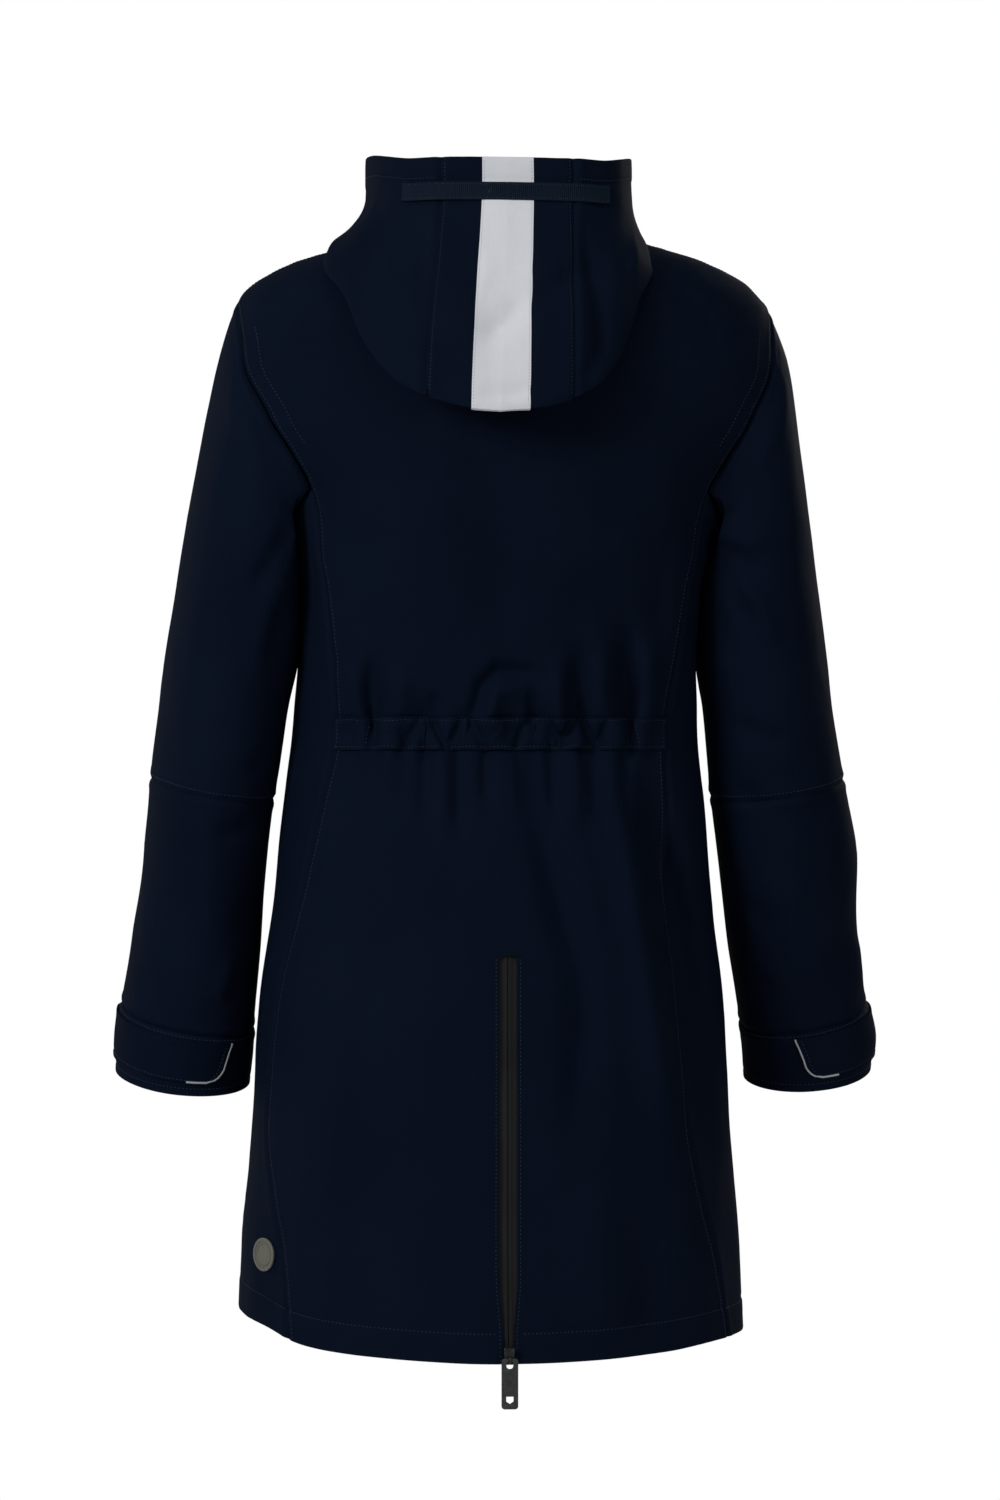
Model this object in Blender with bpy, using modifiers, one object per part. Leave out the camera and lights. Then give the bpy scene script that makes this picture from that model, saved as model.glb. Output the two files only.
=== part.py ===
"""Hooded raincoat, hood down, filled out as on a general figure: every cut piece is a thin-walled solid.

Metres, +Z up. The coat faces -Y, the wearer's left is +X, and the origin is inside the neck opening, level
with the nape. Turns are degrees round the body from centre back (0) by the wearer's left (90) to centre
front (180); the right side has negative turns.
"""

import bmesh
import bpy
import math
import numpy as np
from mathutils import Vector

# ---------------------------------------------------------------- driving sizes

WALL = 0.0014          # the coat's cloth
TRIM_WALL = 0.0010     # tapes, tabs and bands sewn on it
SEAM_GAP = 0.0003      # between pieces that meet, and under what lies on a panel
ZIP_HALF = 0.0073      # half the width of both zips' tapes
VENT_TOP = -0.571      # top of the centre-back vent
UNDERARM = -0.209      # level where the princess and front seams reach the armhole
TIP = -0.050           # level of the shoulder tip
NAPE = 0.008           # level of the neckline at the shoulder seams
HEM = -0.884           # nominal level of the hem

LOWER_LEVELS = (HEM, -0.825, -0.760, -0.695, -0.632, VENT_TOP, -0.515, -0.460, -0.412, -0.400, -0.388, -0.362,
                -0.318, -0.262, UNDERARM)
UPPER_LEVELS = (-0.182, -0.150, -0.113, -0.086, -0.065, TIP, -0.036, -0.021, -0.006, NAPE)


def table(columns, rows):
    """A short table as named columns of numbers."""
    return dict(zip(columns.split(), np.array(rows, float).T))


# Horizontal sections of the body: half its width, its depth behind and in front of the side line, the
# squareness of the curve and how far its centre stands to the wearer's left.
BODY = table("level half back front square centre", [
    (-0.884, 0.2010, 0.150, 0.142, 2.25, 0.0100),
    (-0.804, 0.1985, 0.145, 0.140, 2.25, 0.0100),
    (-0.708, 0.1905, 0.139, 0.137, 2.25, 0.0095),
    (-0.612, 0.1850, 0.132, 0.133, 2.25, 0.0090),
    (-0.532, 0.1750, 0.122, 0.128, 2.25, 0.0080),
    (-0.484, 0.1710, 0.113, 0.124, 2.30, 0.0075),
    (-0.436, 0.1655, 0.102, 0.120, 2.35, 0.0070),
    (-0.400, 0.1615, 0.094, 0.118, 2.40, 0.0060),
    (-0.375, 0.1605, 0.100, 0.120, 2.40, 0.0055),
    (-0.340, 0.1590, 0.106, 0.124, 2.40, 0.0045),
    (-0.290, 0.1600, 0.114, 0.130, 2.40, 0.0030),
    (-0.240, 0.1660, 0.120, 0.135, 2.35, 0.0015),
    (-0.209, 0.1760, 0.121, 0.136, 2.30, 0.0005),
    (-0.182, 0.1970, 0.120, 0.136, 2.25, 0.0),
    (-0.150, 0.2190, 0.118, 0.133, 2.20, 0.0),
    (-0.113, 0.2300, 0.113, 0.128, 2.15, 0.0),
    (-0.085, 0.2240, 0.107, 0.121, 2.10, 0.0),
    (-0.060, 0.2150, 0.100, 0.113, 2.10, 0.0),
    (-0.046, 0.2035, 0.095, 0.108, 2.10, 0.0),
    (-0.036, 0.1905, 0.090, 0.102, 2.05, -0.001),
    (-0.021, 0.1580, 0.081, 0.092, 2.05, -0.003),
    (-0.010, 0.1220, 0.074, 0.085, 2.00, 0.0),
    (0.008, 0.0750, 0.062, 0.075, 2.00, 0.004)])

# The hem round the body, deeper behind than in front.
HEM_LINE = table("turn z", [
    (-180, -0.845), (-125, -0.860), (-90, -0.872), (-57, -0.874), (-33, -0.879), (0, -0.883),
    (25, -0.879), (48, -0.8725), (65, -0.861), (90, -0.8535), (125, -0.848), (180, -0.845)])

# The princess seams of the back, as turns at each level.
PRINCESS = table("level left right", [
    (-0.884, 54, -62), (-0.820, 57, -57), (-0.760, 64, -51), (-0.700, 72, -47), (-0.620, 70, -46),
    (-0.520, 62, -46), (-0.458, 56, -49), (-0.400, 52, -49), (-0.340, 56, -56), (-0.262, 63, -63)])

# The armhole's edge: how far behind and in front of the side line it stands.
ARMHOLE = table("level back front", [
    (-0.209, 0.064, -0.070), (-0.182, 0.067, -0.075), (-0.150, 0.064, -0.072), (-0.113, 0.052, -0.060),
    (-0.086, 0.039, -0.044), (-0.065, 0.023, -0.026), (-0.050, 0.0, 0.0)])

# The largest folds of the back: soft troughs (negative) and ridges, from one end to the other.
FOLDS = table("x1 z1 x2 z2 reach rise", [
    (-0.018, -0.455, -0.050, -0.590, 0.020, -0.0045),
    (-0.050, -0.590, -0.042, -0.690, 0.020, -0.0030),
    (-0.086, -0.450, -0.122, -0.680, 0.020, 0.0060),
    (-0.125, -0.480, -0.152, -0.660, 0.026, -0.0080),
    (0.105, -0.560, 0.130, -0.800, 0.030, -0.0040),
    (0.150, -0.700, 0.160, -0.850, 0.022, 0.0040),
    (-0.088, -0.325, -0.092, -0.372, 0.014, -0.0060),
    (-0.050, -0.335, -0.052, -0.372, 0.013, -0.0050),
    (0.106, -0.345, 0.104, -0.372, 0.013, -0.0050),
    (0.020, -0.335, -0.020, -0.345, 0.014, 0.0060)])

# Sleeve sections: the outer and the inner point of each (height, and reach from the centre on each side),
# half its depth, how far forward its centre is, how much its back edge drops and how far it still follows
# the armhole's own outline.
SLEEVE = table("out_z out_left out_right in_z in_left in_right depth forward drop cap", [
    (-0.050, 0.2110, 0.2110, -0.2400, 0.1680, 0.1680, 0.0670, 0.000, 0, 1.00),
    (-0.070, 0.2190, 0.2190, -0.2425, 0.1765, 0.1755, 0.0690, 0.000, 0, 0.90),
    (-0.096, 0.2262, 0.2272, -0.2500, 0.1800, 0.1780, 0.0700, 0.000, 0, 0.65),
    (-0.135, 0.2345, 0.2340, -0.2700, 0.1735, 0.1710, 0.0700, 0.001, 1, 0.35),
    (-0.190, 0.2450, 0.2420, -0.3020, 0.1670, 0.1615, 0.0690, 0.002, 2, 0.10),
    (-0.250, 0.2565, 0.2500, -0.3400, 0.1680, 0.1605, 0.0675, 0.003, 3, 0),
    (-0.315, 0.2665, 0.2590, -0.3780, 0.1735, 0.1635, 0.0655, 0.005, 4, 0),
    (-0.375, 0.2745, 0.2660, -0.4180, 0.1785, 0.1665, 0.0635, 0.008, 6, 0),
    (-0.434, 0.2820, 0.2765, -0.4500, 0.1830, 0.1695, 0.0620, 0.012, 8, 0),
    (-0.500, 0.2870, 0.2890, -0.5120, 0.1900, 0.1775, 0.0590, 0.020, 11, 0),
    (-0.560, 0.2950, 0.2910, -0.5740, 0.1935, 0.1870, 0.0550, 0.030, 13, 0),
    (-0.616, 0.3040, 0.3010, -0.6340, 0.1975, 0.1975, 0.0510, 0.041, 15, 0),
    (-0.644, 0.3070, 0.3070, -0.6560, 0.1990, 0.2010, 0.0500, 0.046, 16, 0),
    (-0.669, 0.3075, 0.3050, -0.6780, 0.2010, 0.2025, 0.0485, 0.050, 16, 0)])
ELBOW, CUFF = 8, 11     # the rows of the elbow seam and of the cuff seam

# Hood ribs, from centre back round to the front: the bag's lowest point (the collar's middle in front) and
# the rim. The last rib stands beside the front zip.
HOOD = table("turn edge_x edge_y edge_z rim_x rim_y rim_z", [
    (0, 0.0, 0.170, -0.153, 0.0, 0.100, 0.049),
    (14, 0.029, 0.168, -0.150, 0.026, 0.099, 0.049),
    (27, 0.0565, 0.162, -0.142, 0.0515, 0.0965, 0.049),
    (42, 0.082, 0.148, -0.126, 0.073, 0.087, 0.049),
    (56, 0.101, 0.126, -0.098, 0.092, 0.070, 0.0525),
    (70, 0.115, 0.104, -0.062, 0.102, 0.046, 0.056),
    (84, 0.124, 0.070, -0.024, 0.105, 0.016, 0.057),
    (98, 0.109, 0.020, 0.003, 0.102, -0.016, 0.052),
    (114, 0.102, -0.030, 0.004, 0.093, -0.044, 0.034),
    (131, 0.082, -0.062, -0.010, 0.078, -0.070, 0.020),
    (148, 0.057, -0.083, -0.026, 0.056, -0.088, 0.007),
    (164, 0.030, -0.094, -0.038, 0.030, -0.098, -0.002),
    (180, 0.0076, -0.098, -0.043, 0.0076, -0.101, -0.006)])
HOOD_TURNS = (3.7, 11.0, 19.0, 27.0, 36.0, 46.5, 58.0, 70.0, 84.0, 98.0, 114.0, 131.0, 148.0, 164.0, 180.0)
STRIPE_TURN, CENTRE_TURN, TAPE_TURN = 11.0, 27.0, 46.5
HOOD_LEAN = (0.006, 0.018)     # how far the rim and the bag stand to the wearer's left

BADGE_COLUMN, BADGE_Z, BADGE_RADIUS, BADGE_THICK = 1, -0.807, 0.013, 0.0014


# ---------------------------------------------------------------- curves and tables

def at(rows, column, place):
    """The value of a column at a place, on a smooth curve through the rows that never overshoots them."""
    keys = rows[next(iter(rows))]
    values = rows[column]
    if keys[0] > keys[-1]:
        keys, values = keys[::-1], values[::-1]
    step = np.diff(keys)
    slope = np.diff(values) / step
    lean = np.zeros(len(keys))
    same = slope[1:] * slope[:-1] > 0
    lean[1:-1][same] = 2 * slope[1:][same] * slope[:-1][same] / (slope[1:][same] + slope[:-1][same])
    lean[0], lean[-1] = slope[0], slope[-1]
    place = min(max(place, keys[0]), keys[-1])
    i = min(int(np.searchsorted(keys, place, side="right")) - 1, len(step) - 1)
    t = (place - keys[i]) / step[i]
    return ((1 + 2 * t) * (1 - t) ** 2 * values[i] + t * (1 - t) ** 2 * step[i] * lean[i]
            + t * t * (3 - 2 * t) * values[i + 1] + t * t * (t - 1) * step[i] * lean[i + 1])


def ease(value, start, end):
    """0 at start, 1 at end, smooth between."""
    t = min(max((value - start) / (end - start), 0.0), 1.0)
    return t * t * (3 - 2 * t)


def curve_through(points, count):
    """Points evenly spaced in parameter on a Catmull-Rom curve through the given ones."""
    points = np.array(points, float)
    ends = np.vstack([2 * points[0] - points[1], points, 2 * points[-1] - points[-2]])
    out = []
    for t in np.linspace(0, len(points) - 1, count):
        i = min(int(t), len(points) - 2)
        a, b, c, d = ends[i:i + 4]
        f = t - i
        out.append(0.5 * (2 * b + (c - a) * f + (2 * a - 5 * b + 4 * c - d) * f * f
                          + (3 * b - a - 3 * c + d) * f ** 3))
    return np.array(out)


# ---------------------------------------------------------------- the body's form

def fold_rise(x, z):
    """How far the folds push the back's cloth out at a place."""
    rise = 0.0
    for x1, z1, x2, z2, reach, size in zip(*FOLDS.values()):
        along = np.array((x2 - x1, z2 - z1))
        length = np.hypot(*along)
        t = np.dot(np.array((x - x1, z - z1)), along) / length ** 2
        beside = ((x - x1) * along[1] - (z - z1) * along[0]) / length
        beyond = max(-t, t - 1, 0.0) * length
        rise += size * math.exp(-(beside / reach) ** 2 - (beyond / reach) ** 2)
    return rise


def body_point(turn, level):
    """The coat's outer face at a turn and a nominal level."""
    half, square = at(BODY, "half", level), at(BODY, "square", level)
    s, c = math.sin(math.radians(turn)), math.cos(math.radians(turn))
    depth = at(BODY, "back" if c > 0 else "front", level)
    x = at(BODY, "centre", level) + half * math.copysign(abs(s) ** (2 / square), s)
    y = depth * math.copysign(abs(c) ** (2 / square), c)
    z = level + (at(HEM_LINE, "z", turn) - HEM) * (1 - ease(level, HEM, -0.74))
    away = abs(turn)
    z -= 0.031 * ease(level, -0.300, UNDERARM) * (1 - ease(level, UNDERARM, TIP)) * underarm(away)
    if away > 90:
        z -= 0.083 * ease(level, UNDERARM, NAPE) * (1 - math.cos(math.radians(2 * (away - 90)))) / 2
    else:
        z -= 0.008 * ease(level, -0.10, NAPE) * math.cos(math.radians(away)) ** 2
    y += fold_rise(x, z) * ease(y, 0.02, 0.07)
    return np.array((x, y, z))


def underarm(away):
    """How far towards the bottom of the armhole a turn is: 0 at the panels' seams, 1 at the side."""
    back, front = armhole_turn("back", UNDERARM), armhole_turn("front", UNDERARM)
    if not back < away < front:
        return 0.0
    return math.sin(math.pi * (away - back) / (front - back)) ** 1.2


def armhole_turn(side, level):
    """The turn of the armhole's edge behind or in front of the side line."""
    y = at(ARMHOLE, side, level)
    c = (abs(y) / at(BODY, side, level)) ** (at(BODY, "square", level) / 2)
    return math.degrees(math.acos(c)) if side == "back" else 180 - math.degrees(math.acos(c))


def zip_turn(level, centre):
    """The turn at which the cloth's edge stands beside a zip, at centre back or centre front."""
    s = (ZIP_HALF / at(BODY, "half", level)) ** (at(BODY, "square", level) / 2)
    turn = math.degrees(math.asin(s))
    return turn if centre == "back" else 180 - turn


def edge_turn(level, side, hand):
    """The turn of a panel's outer edge: its seam below, the armhole above it, then the shoulder seam."""
    if level > TIP:
        return 90.0
    if level >= UNDERARM:
        return armhole_turn(side, level)
    if side == "front":
        seam = 118.0
        mix = ease(level, -0.36, UNDERARM)
    else:
        seam = abs(at(PRINCESS, hand, level))
        mix = ease(level, -0.262, UNDERARM)
    return seam + (armhole_turn(side, UNDERARM) - seam) * mix


def grid(levels, turns_at):
    """Rows of points on the body, one row for each level."""
    return np.array([[body_point(turn, level) for turn in turns_at(level)] for level in levels])


# ---------------------------------------------------------------- cloth solids

def weld_normals(grids, looped=()):
    """Outward directions of every sheet's points, shared where sheets meet so that their walls meet too."""
    sums = {}
    keys = {name: np.round(points / 2e-5).astype(int) for name, points in grids.items()}
    for name, points in grids.items():
        rows, cols = points.shape[:2]
        wrap = name in looped
        for i in range(rows - 1):
            for j in range(cols if wrap else cols - 1):
                k = (j + 1) % cols
                corner = ((i, j), (i, k), (i + 1, k), (i + 1, j))
                a, b, c, d = (points[p] for p in corner)
                face = np.cross(d - b, c - a)
                for p in corner:
                    key = tuple(keys[name][p])
                    sums[key] = sums.get(key, 0) + face
    out = {}
    for name, points in grids.items():
        n = np.array([[sums[tuple(keys[name][i, j])] for j in range(points.shape[1])]
                      for i in range(points.shape[0])])
        out[name] = n / np.linalg.norm(n, axis=2, keepdims=True)
    return out


def drawn_in(points, bottom=0.0, top=0.0, left=0.0, right=0.0):
    """The sheet with its edges drawn in by these distances, along its own rows and columns."""
    out = points.copy()
    for edge, inner, gap in ((np.s_[0], np.s_[1], bottom), (np.s_[-1], np.s_[-2], top)):
        step = out[inner] - out[edge]
        out[edge] += gap * step / np.linalg.norm(step, axis=-1, keepdims=True)
    for edge, inner, gap in ((np.s_[:, 0], np.s_[:, 1], left), (np.s_[:, -1], np.s_[:, -2], right)):
        step = out[inner] - out[edge]
        out[edge] += gap * step / np.linalg.norm(step, axis=-1, keepdims=True)
    return out


def cloth(name, outer, inner, material, looped=False, slit=None):
    """One closed solid between two matching sheets. slit(i, j) says which faces are cut away."""
    rows, cols = outer.shape[:2]
    mesh = bmesh.new()
    sheets = [[[mesh.verts.new(sheet[i, j]) for j in range(cols)] for i in range(rows)]
              for sheet in (outer, inner)]
    kept = {(i, j) for i in range(rows - 1) for j in range(cols if looped else cols - 1)
            if not (slit and slit(i, j))}
    for i, j in sorted(kept):
        k = (j + 1) % cols
        corners = ((i, j), (i + 1, j), (i + 1, k), (i, k))
        a, b, c, d = corners
        # Both faces are split along the same, shorter diagonal, so that the wall keeps its thickness.
        shorter = np.linalg.norm(outer[a] - outer[c]) <= np.linalg.norm(outer[b] - outer[d])
        for three in ((a, b, c), (a, c, d)) if shorter else ((b, c, d), (b, d, a)):
            mesh.faces.new([sheets[0][p][q] for p, q in three])
            mesh.faces.new([sheets[1][p][q] for p, q in reversed(three)])
        beside = ((i, (j - 1) % cols if looped else j - 1), (i + 1, j),
                  (i, (j + 1) % cols if looped else j + 1), (i - 1, j))
        for near, a, b in zip(beside, corners, corners[1:] + corners[:1]):
            if near not in kept:
                mesh.faces.new((sheets[0][b[0]][b[1]], sheets[0][a[0]][a[1]],
                                sheets[1][a[0]][a[1]], sheets[1][b[0]][b[1]]))
    bmesh.ops.delete(mesh, geom=[v for v in mesh.verts if not v.link_faces], context="VERTS")
    bmesh.ops.triangulate(mesh, faces=mesh.faces)
    return finish(name, mesh, material)


def finish(name, mesh, material):
    """An object of the mesh, smooth with sharp edges kept."""
    data = bpy.data.meshes.new(name)
    mesh.to_mesh(data)
    mesh.free()
    data.shade_smooth()
    data.set_sharp_from_angle(angle=math.radians(40))
    data.materials.append(material)
    thing = bpy.data.objects.new(name, data)
    COAT.objects.link(thing)
    return thing


def panel(name, points, normals, material, wall=WALL, lift=0.0, gaps=None, looped=False, slit=None):
    """A cut piece: its outer face on the sheet's points, or moved out by lift, and its wall inside that."""
    outer = drawn_in(points + normals * lift, **(gaps or {}))
    inner = drawn_in(points + normals * (lift - wall), **(gaps or {}))
    return cloth(name, outer, inner, material, looped, slit)


def laid_on(name, points, normals, material, wall=TRIM_WALL, lift=SEAM_GAP, gaps=None):
    """A piece lying on a panel, made from its points moved out."""
    outer = drawn_in(points + normals * (lift + wall), **(gaps or {}))
    inner = drawn_in(points + normals * lift, **(gaps or {}))
    return cloth(name, outer, inner, material)


def material(name, colour, roughness, metallic=0.0):
    made = bpy.data.materials.new(name)
    made.use_nodes = True
    shader = made.node_tree.nodes["Principled BSDF"]
    shader.inputs["Base Color"].default_value = (*colour, 1.0)
    shader.inputs["Roughness"].default_value = roughness
    shader.inputs["Metallic"].default_value = metallic
    made.diffuse_color = (*colour, 1.0)
    return made


# ---------------------------------------------------------------- the scene

for thing in list(bpy.data.objects):
    bpy.data.objects.remove(thing, do_unlink=True)

COAT = bpy.data.collections.new("hooded_raincoat")
CUTTERS = bpy.data.collections.new("cutters")
bpy.context.scene.collection.children.link(COAT)
bpy.context.scene.collection.children.link(CUTTERS)

NAVY = material("navy_cloth", (0.006, 0.010, 0.020), 0.55)
WEBBING = material("navy_webbing", (0.010, 0.016, 0.030), 0.60)
REFLECTIVE = material("reflective_grey", (0.60, 0.62, 0.66), 0.40)
SILVER = material("silver_piping", (0.62, 0.64, 0.66), 0.35)
ZIP_TAPE = material("zip_tape", (0.018, 0.018, 0.019), 0.55)
ZIP_METAL = material("black_zip_metal", (0.015, 0.015, 0.016), 0.30, 0.8)
BADGE = material("grey_badge", (0.20, 0.20, 0.18), 0.50)

# ---------------------------------------------------------------- sheets of the body

LEVELS = LOWER_LEVELS + UPPER_LEVELS
BACK_STRIPS, FRONT_STRIPS, SIDE_STRIPS = 8, 6, 6


def back_turns(level):
    """From the right-hand edge to the left, with a strip the zip's width at centre back."""
    slot = zip_turn(level, "back")
    right = -edge_turn(level, "back", "right")
    left = edge_turn(level, "back", "left")
    return np.concatenate([np.linspace(right, -slot, BACK_STRIPS + 1), np.linspace(slot, left, BACK_STRIPS + 1)])


def side_turns(hand):
    """From the princess seam to the seam of the front, for the left; the other way round for the right."""
    def turns(level):
        row = np.linspace(edge_turn(level, "back", hand), edge_turn(level, "front", hand), SIDE_STRIPS + 1)
        return row if hand == "left" else -row[::-1]
    return turns


def front_turns(hand):
    def turns(level):
        row = np.linspace(edge_turn(level, "front", hand), zip_turn(level, "front"), FRONT_STRIPS + 1)
        return row if hand == "left" else -row[::-1]
    return turns


SHEETS = {"back": grid(LEVELS, back_turns)}
for hand in ("left", "right"):
    SHEETS["side_" + hand] = grid(LOWER_LEVELS, side_turns(hand))
    SHEETS["front_" + hand] = grid(LEVELS, front_turns(hand))

# ---------------------------------------------------------------- sheets of the sleeves

LAST_LOW = len(LOWER_LEVELS) - 1
TIP_ROW = LEVELS.index(TIP)


def armhole_ring(hand):
    """The armhole's edge from the shoulder tip down behind, under the arm and up in front."""
    outer = -1 if hand == "left" else 0
    side = SHEETS["side_" + hand][-1] if hand == "left" else SHEETS["side_" + hand][-1][::-1]
    behind = SHEETS["back"][TIP_ROW:LAST_LOW:-1, outer]
    before = SHEETS["front_" + hand][LAST_LOW + 1:TIP_ROW, 0 if hand == "left" else -1]
    return np.vstack([behind, side, before])


def sleeve_rings(hand):
    ring = armhole_ring(hand)
    steps = np.linalg.norm(np.roll(ring, -1, 0) - ring, axis=1)
    run = np.concatenate([[0], np.cumsum(steps)[:-1]])
    bottom = len(UPPER_LEVELS[:UPPER_LEVELS.index(TIP) + 1]) + SIDE_STRIPS // 2
    around = np.where(np.arange(len(ring)) <= bottom, run / run[bottom] * math.pi,
                      math.pi + (run - run[bottom]) / (steps.sum() - run[bottom]) * math.pi)
    sign = 1 if hand == "left" else -1
    rings = []
    for row in range(len(SLEEVE["out_z"])):
        value = {column: numbers[row] for column, numbers in SLEEVE.items()}
        out = np.array((sign * value["out_" + hand], -value["forward"], value["out_z"]))
        inn = np.array((sign * value["in_" + hand], -value["forward"], value["in_z"]))
        tilt = math.radians(value["drop"])
        back = value["depth"] * np.array((0, math.cos(tilt), -math.sin(tilt)))
        oval = np.array([(out + inn) / 2 + (out - inn) / 2 * math.cos(a) + back * math.sin(a) for a in around])
        rings.append(oval)
    own = ring - rings[0]
    rings = np.array([oval + own * cap for oval, cap in zip(rings, SLEEVE["cap"])])
    return rings[::-1, ::-1] if hand == "left" else rings[::-1]


for hand in ("left", "right"):
    SHEETS["sleeve_" + hand] = sleeve_rings(hand)


# ---------------------------------------------------------------- sheets of the hood

def hood_rib(turn, hand):
    """A rib's curve from the neck seam, under the bag and up to the rim."""
    sign = 1 if hand == "left" else -1
    away = min(turn, zip_turn(NAPE, "front"))
    neck = body_point(sign * away, NAPE)
    value = {column: at(HOOD, column, turn) for column in HOOD}
    edge = np.array((sign * value["edge_x"] + HOOD_LEAN[1] * (1 - ease(turn, 90, 140)), value["edge_y"],
                     value["edge_z"]))
    rim = np.array((sign * value["rim_x"] + HOOD_LEAN[0] * (1 - ease(turn, 120, 175)), value["rim_y"],
                    value["rim_z"]))
    if turn >= 180:
        edge[0], rim[0] = neck[0], neck[0]
    bag = 1 - ease(turn, 92, 140)
    out = (edge - neck) * (1, 1, 0)
    out /= np.linalg.norm(out)
    up = np.array((0, 0, 1))
    plain = [neck + (edge - neck) * f for f in (0.3, 0.55, 0.8)]
    bagged = [neck + up * 0.012 + out * 0.003, neck + up * 0.013 + out * 0.016,
              neck + (edge - neck) * 0.5 + out * 0.006 + up * 0.016]
    under = [p * (1 - bag) + q * bag for p, q in zip(plain, bagged)]
    bulge = out * 0.006 * bag
    over = [edge + (rim - edge) * 0.33 + bulge, rim * (1 - bag) + edge * 0.32 * (1 - bag)
            + (rim + out * 0.004 - up * 0.040) * bag - rim * 0.32 * (1 - bag)]
    return [neck, *under, edge, *over, rim]


def hood_column(turn, hand):
    """A rib's points: close together at the roll over the neck and at the bag's edge."""
    fine = curve_through(hood_rib(turn, hand), 211)
    edge = 120
    rows = [0, 18, 40, 66, 96, edge, 132, 160]
    upper = fine[160:]
    run = np.concatenate([[0], np.cumsum(np.linalg.norm(np.diff(upper, axis=0), axis=1))])
    rim_run = run[-1]
    picks = [np.array([np.interp(rim_run - d, run, upper[:, k]) for k in range(3)])
             for d in (TAPE_LOW, TAPE_HIGH, 0.0)]
    return np.vstack([fine[rows], picks])


TAPE_LOW, TAPE_HIGH = 0.0345, 0.0195      # distances of the tape's edges below the rim
HOOD_EDGE_ROW, HOOD_TAPE_ROW = 5, 8

left_turns = np.array(HOOD_TURNS)
hood_columns = [hood_column(t, "right") for t in left_turns[::-1]]
hood_columns += [hood_column(t, "left") for t in left_turns]
HOOD_SHEET = np.array(hood_columns).transpose(1, 0, 2)
count = len(HOOD_TURNS)
centre = HOOD_TURNS.index(CENTRE_TURN)
SHEETS["hood_side_right"] = HOOD_SHEET[:, :count - centre]
SHEETS["hood_centre"] = HOOD_SHEET[:, count - centre - 1:count + centre + 1]
SHEETS["hood_side_left"] = HOOD_SHEET[:, count + centre:]

# ---------------------------------------------------------------- the cut pieces

NORMALS = weld_normals(SHEETS, looped=("sleeve_left", "sleeve_right"))


def share_neck_normals():
    """Let the neck edges of the hood and of the body lean alike, so that their walls meet in one line."""
    body = [(names, sheet[-1], NORMALS[names][-1]) for names, sheet in SHEETS.items()
            if names in ("back", "front_left", "front_right")]
    hood = [(names, sheet[0], NORMALS[names][0]) for names, sheet in SHEETS.items() if "hood" in names]

    def nearest(point, others):
        points = np.vstack([row for _, row, _ in others])
        normals = np.vstack([row for _, _, row in others])
        weight = 1 / (np.linalg.norm(points - point, axis=1) + 1e-4) ** 3
        return (normals * weight[:, None]).sum(0) / weight.sum()

    shared = [(row, i, row[i] + nearest(points[i], others)) for own, others in ((body, hood), (hood, body))
              for _, points, row in own for i in range(len(row))]
    for row, i, lean in shared:
        row[i] = lean / np.linalg.norm(lean)


share_neck_normals()
HALF_GAP = SEAM_GAP / 2
FOLDED_GAP = 0.0005        # each side of a seam that folds sharply, at the underarm and the collar
VENT_ROW = LOWER_LEVELS.index(VENT_TOP)
ALL_ROUND = dict(top=SEAM_GAP, left=HALF_GAP, right=HALF_GAP)

panel("back", SHEETS["back"], NORMALS["back"], NAVY, gaps=ALL_ROUND,
      slit=lambda i, j: j == BACK_STRIPS and i < VENT_ROW)
for hand in ("left", "right"):
    panel("side_" + hand, SHEETS["side_" + hand], NORMALS["side_" + hand], NAVY,
          gaps=dict(top=FOLDED_GAP, left=HALF_GAP, right=HALF_GAP))
    panel("front_" + hand, SHEETS["front_" + hand], NORMALS["front_" + hand], NAVY, gaps=ALL_ROUND)
for name in ("hood_side_right", "hood_centre", "hood_side_left"):
    panel(name, SHEETS[name], NORMALS[name], NAVY, gaps=dict(bottom=2 * FOLDED_GAP, left=SEAM_GAP, right=SEAM_GAP))

for hand in ("left", "right"):
    rings, normals = SHEETS["sleeve_" + hand], NORMALS["sleeve_" + hand]
    total = len(rings) - 1
    cuff, elbow = total - CUFF, total - ELBOW
    between = dict(bottom=HALF_GAP, top=HALF_GAP)
    panel("cuff_" + hand, rings[:cuff + 1], normals[:cuff + 1], NAVY, gaps=dict(top=HALF_GAP), looped=True)
    panel("sleeve_lower_" + hand, rings[cuff:elbow + 1], normals[cuff:elbow + 1], NAVY, gaps=between,
          looped=True)
    panel("sleeve_upper_" + hand, rings[elbow:], normals[elbow:], NAVY,
          gaps=dict(bottom=HALF_GAP, top=FOLDED_GAP), looped=True)

# ---------------------------------------------------------------- what lies on the panels

BACK, BACK_OUT = SHEETS["back"], NORMALS["back"]

# The stripe down the hood: the columns beside centre back, from the rim to the bag's edge.
STRIPE_LIFT = 0.0007       # it lies clear of the bag's turned edge
stripe_points = SHEETS["hood_centre"][HOOD_EDGE_ROW:, 2:-2]
stripe_out = weld_normals({"stripe": stripe_points})["stripe"]
laid_on("hood_stripe", stripe_points, stripe_out, REFLECTIVE, wall=0.0008, lift=STRIPE_LIFT,
        gaps=dict(top=SEAM_GAP))

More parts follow.
